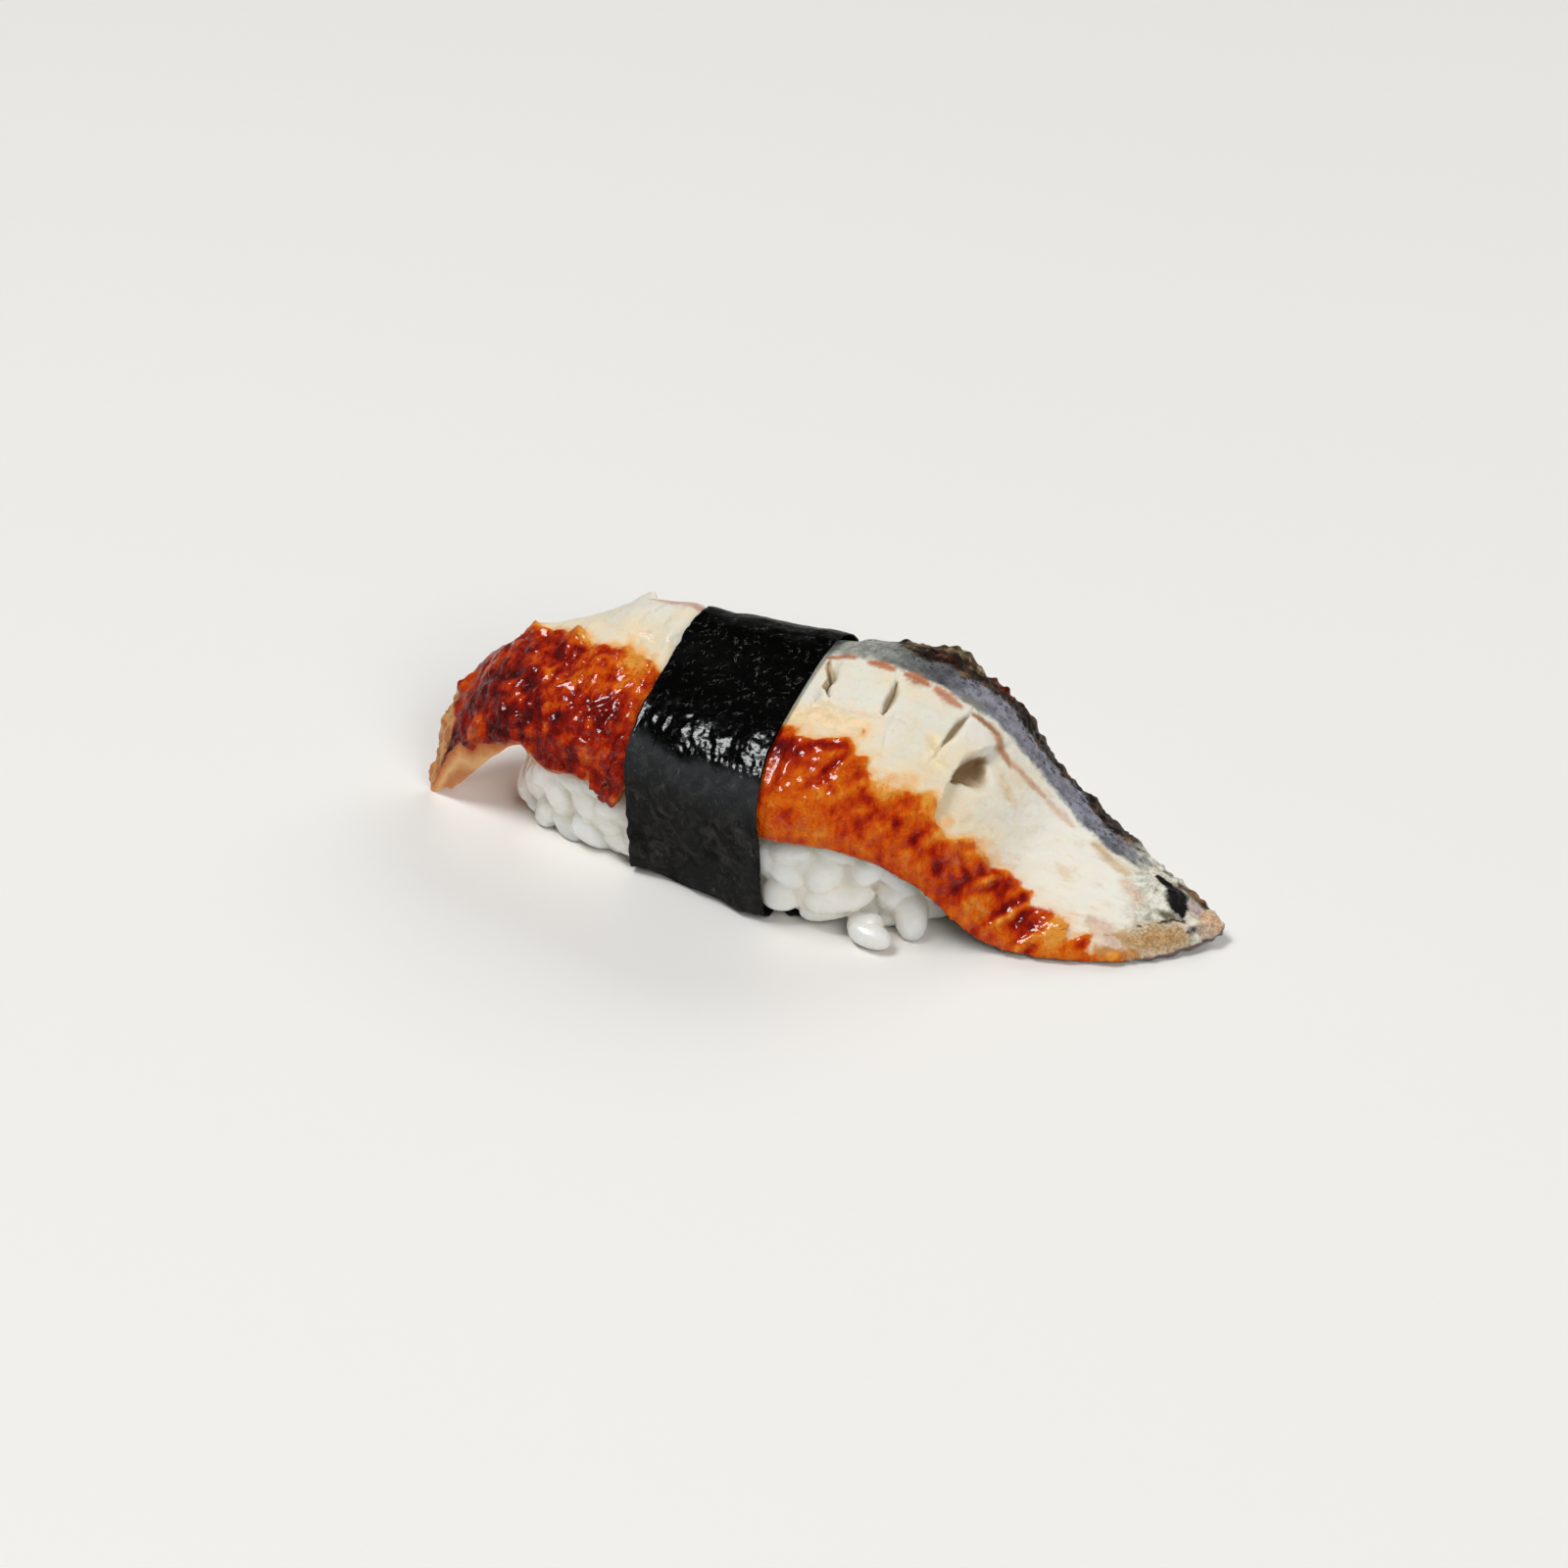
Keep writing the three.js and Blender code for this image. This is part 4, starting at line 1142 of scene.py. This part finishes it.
# whole grains over a smaller core, before they are welded
def roughRice(rng, grains):
    shape, shapeFaces = grainShape()
    verts, faces = [], []
    for number, (middle, heading, outward, size) in enumerate(grains):
        grain = shape * size
        grain[:, 2] -= riceLook["bent"] * rng.uniform(-0.5, 1.3) * grain[:, 0] ** 2
        uneven = lumps(shape * 2.2 + number * 5.3, 1.0, 41)  # each grain takes its own stretch of the noise
        grain = grain + shape * riceLook["lumpy"] * uneven[:, None]
        grain = grain @ grainAxes(heading, outward) + middle
        grain[:, 2] = np.maximum(grain[:, 2], riceLook["lowest"] + 0.1 * rng.random())
        start = len(verts)
        verts.extend(grain)
        faces.extend(tuple(start + i for i in face) for face in shapeFaces)

    core = softCopy("rice_bed", riceLook["coreVoxel"], 1)
    points = meshPoints(core)
    inset = riceLook["coreInset"] - 0.3 * pillows(points, 2.6, 42)
    points -= meshNormals(core) * inset[:, None]
    start = len(verts)
    verts.extend(points)
    faces.extend(tuple(start + i for i in p.vertices) for p in core.polygons)
    mesh = bpy.data.meshes.new("rice")
    mesh.from_pydata([Vector(p) * mm for p in verts], [], faces)
    return mesh


def buildRice():
    rng = np.random.default_rng(riceLook["seed"])
    grains = scatteredGrains(rng, placedGrains())
    say(f"{len(grains)} grains of rice")
    thing = addObject("riceRough", roughRice(rng, grains))
    voxelRemesh(thing, riceLook["weld"])  # the grains stick together where they touch
    mesh = applied(thing)
    fillCreases(mesh, riceLook["filled"])
    thing = addObject("riceWelded", mesh)
    thing.modifiers.new("fewer", "DECIMATE").ratio = riceLook["keep"]
    mesh = applied(thing)
    points = meshPoints(mesh)
    low, high = riceLook["onBand"]
    onBand = (points[:, 0] > low) & (points[:, 0] < high)
    points[onBand, 2] = np.maximum(points[onBand, 2], riceLook["bandTop"])
    setPoints(mesh, points)
    shade, seamShade = grainFields(points, grains, rng)
    addField(mesh, "shade", shade)
    addField(mesh, "seamShade", seamShade)
    say(f"rice, {len(mesh.polygons)} faces")
    return addObject("riceGrains", mesh)


def riceFinish():
    f = Finish("cookedRice")
    colour = f.ramp(f.noise(2.4, 3), [(0.35, (254, 250, 241)), (0.65, (251, 244, 232))])
    colour = f.mix(f.between(f.field("shade"), 0.2, 1.0, 0, 0.35), colour, (234, 229, 219))
    # painted shade: warmer and darker where one grain meets the next
    colour = f.mix(f.between(f.field("seamShade"), 0.0, 0.16, 0.28, 0), colour, (226, 212, 190))
    f.set({
        "Base Color": colour,
        "Normal": f.bump(f.noise(0.4, 3), 0.1, f.bump(f.noise(1.3, 2), 0.24)),
        "Roughness": 0.3,
        "Subsurface Weight": 1.0,
        "Subsurface Radius": (1.0, 0.9, 0.76),
        "Subsurface Scale": 4.2 * mm,
        "Coat Weight": f.between(f.noise(1.6, 2), 0.42, 0.56, 0.2, 1.0),
        "Coat Roughness": 0.07,
    })
    return f.material


studio = {
    "floor": (240, 238, 233),
    "floorSize": 3.2,  # in metres, as the lamps below
    "horizon": 0.4,  # brightness of the surroundings low down, and overhead
    "above": 0.03,
    "leftShade": 0.35,  # share of that brightness on the left
    "target": (2.8, 3.8, 5.0),
    "azimuth": 24.0,
    "elevation": 32.5,
    "distance": 650.0,
    "lens": 138.9,
    "aim": (0, 0, 0.008),
    "lamps": [  # name, place, size, watts, colour, whether it shows in reflections
        ("overhead", (-0.4, -0.18, 1.03), (0.5, 0.4), 8.3, (0.97, 0.985, 1), True),
        ("rightFill", (0.75, -0.65, 0.75), (0.6, 0.6), 6.5, (1, 1, 1), False),
        ("backFill", (0.25, 1.1, 0.75), (1.2, 0.6), 7.0, (1, 1, 1), False),
    ],
}


def addFloor():
    mesh = bpy.data.meshes.new("floor")
    s = studio["floorSize"] / 2
    mesh.from_pydata([(-s, -s, 0), (s, -s, 0), (s, s, 0), (-s, s, 0)], [], [(0, 1, 2, 3)])
    floor = addObject("floor", mesh)
    f = Finish("paleTable")
    f.set({"Base Color": paint(studio["floor"]), "Roughness": 0.3, "Specular IOR Level": 0.3})
    floor.data.materials.append(f.material)


# even light from all round, brightest low down and dimmer on the left
def addWorld():
    world = bpy.data.worlds.new("studio")
    world.use_nodes = True
    nodes, links = world.node_tree.nodes, world.node_tree.links
    split = nodes.new("ShaderNodeSeparateXYZ")
    links.new(nodes.new("ShaderNodeTexCoord").outputs["Generated"], split.inputs[0])

    def fade(axis, low, high, least, most):
        node = nodes.new("ShaderNodeMapRange")
        node.interpolation_type = "SMOOTHSTEP"
        for name, value in zip(("From Min", "From Max", "To Min", "To Max"), (low, high, least, most)):
            node.inputs[name].default_value = value
        links.new(split.outputs[axis], node.inputs["Value"])
        return node.outputs["Result"]

    strength = nodes.new("ShaderNodeMath")
    strength.operation = "MULTIPLY"
    links.new(fade("Z", 0.1, 0.45, studio["horizon"], studio["above"]), strength.inputs[0])
    links.new(fade("X", -0.7, 0.5, studio["leftShade"], 1.0), strength.inputs[1])
    links.new(strength.outputs[0], nodes["Background"].inputs["Strength"])
    nodes["Background"].inputs["Color"].default_value = (1, 1, 1, 1)
    scene.world = world


def addLamp(name, at, size, watts, colour, glossy):
    lamp = bpy.data.lights.new(name, "AREA")
    lamp.shape = "RECTANGLE"
    lamp.size, lamp.size_y = size
    lamp.energy = watts
    lamp.color = colour
    thing = bpy.data.objects.new(name, lamp)
    thing.location = at
    thing.rotation_euler = (Vector(studio["aim"]) - Vector(at)).to_track_quat("-Z", "Y").to_euler()
    thing.visible_glossy = glossy
    scene.collection.objects.link(thing)


def addCamera():
    turn, lift = math.radians(studio["azimuth"]), math.radians(studio["elevation"])
    back = Vector((math.sin(turn) * math.cos(lift), -math.cos(turn) * math.cos(lift), math.sin(lift)))
    eye = bpy.data.cameras.new("camera")
    eye.lens = studio["lens"]
    eye.sensor_width = 36
    eye.clip_start, eye.clip_end = 0.01, 10
    camera = bpy.data.objects.new("camera", eye)
    camera.location = (Vector(studio["target"]) + back * studio["distance"]) * mm
    camera.rotation_euler = (-back).to_track_quat("-Z", "Y").to_euler()
    scene.collection.objects.link(camera)
    scene.camera = camera


finishPiece(buildEel(), eelFinish(), "eel_slice")
seaweed = seaweedFinish()
finishPiece(buildBand(), seaweed, "seaweed_band")
finishPiece(buildBandEnd(), seaweed, "seaweed_band")
finishPiece(buildRice(), riceFinish(), "rice_bed")

addFloor()
addWorld()
for lampValues in studio["lamps"]:
    addLamp(*lampValues)
addCamera()
say("floor, lights and camera")
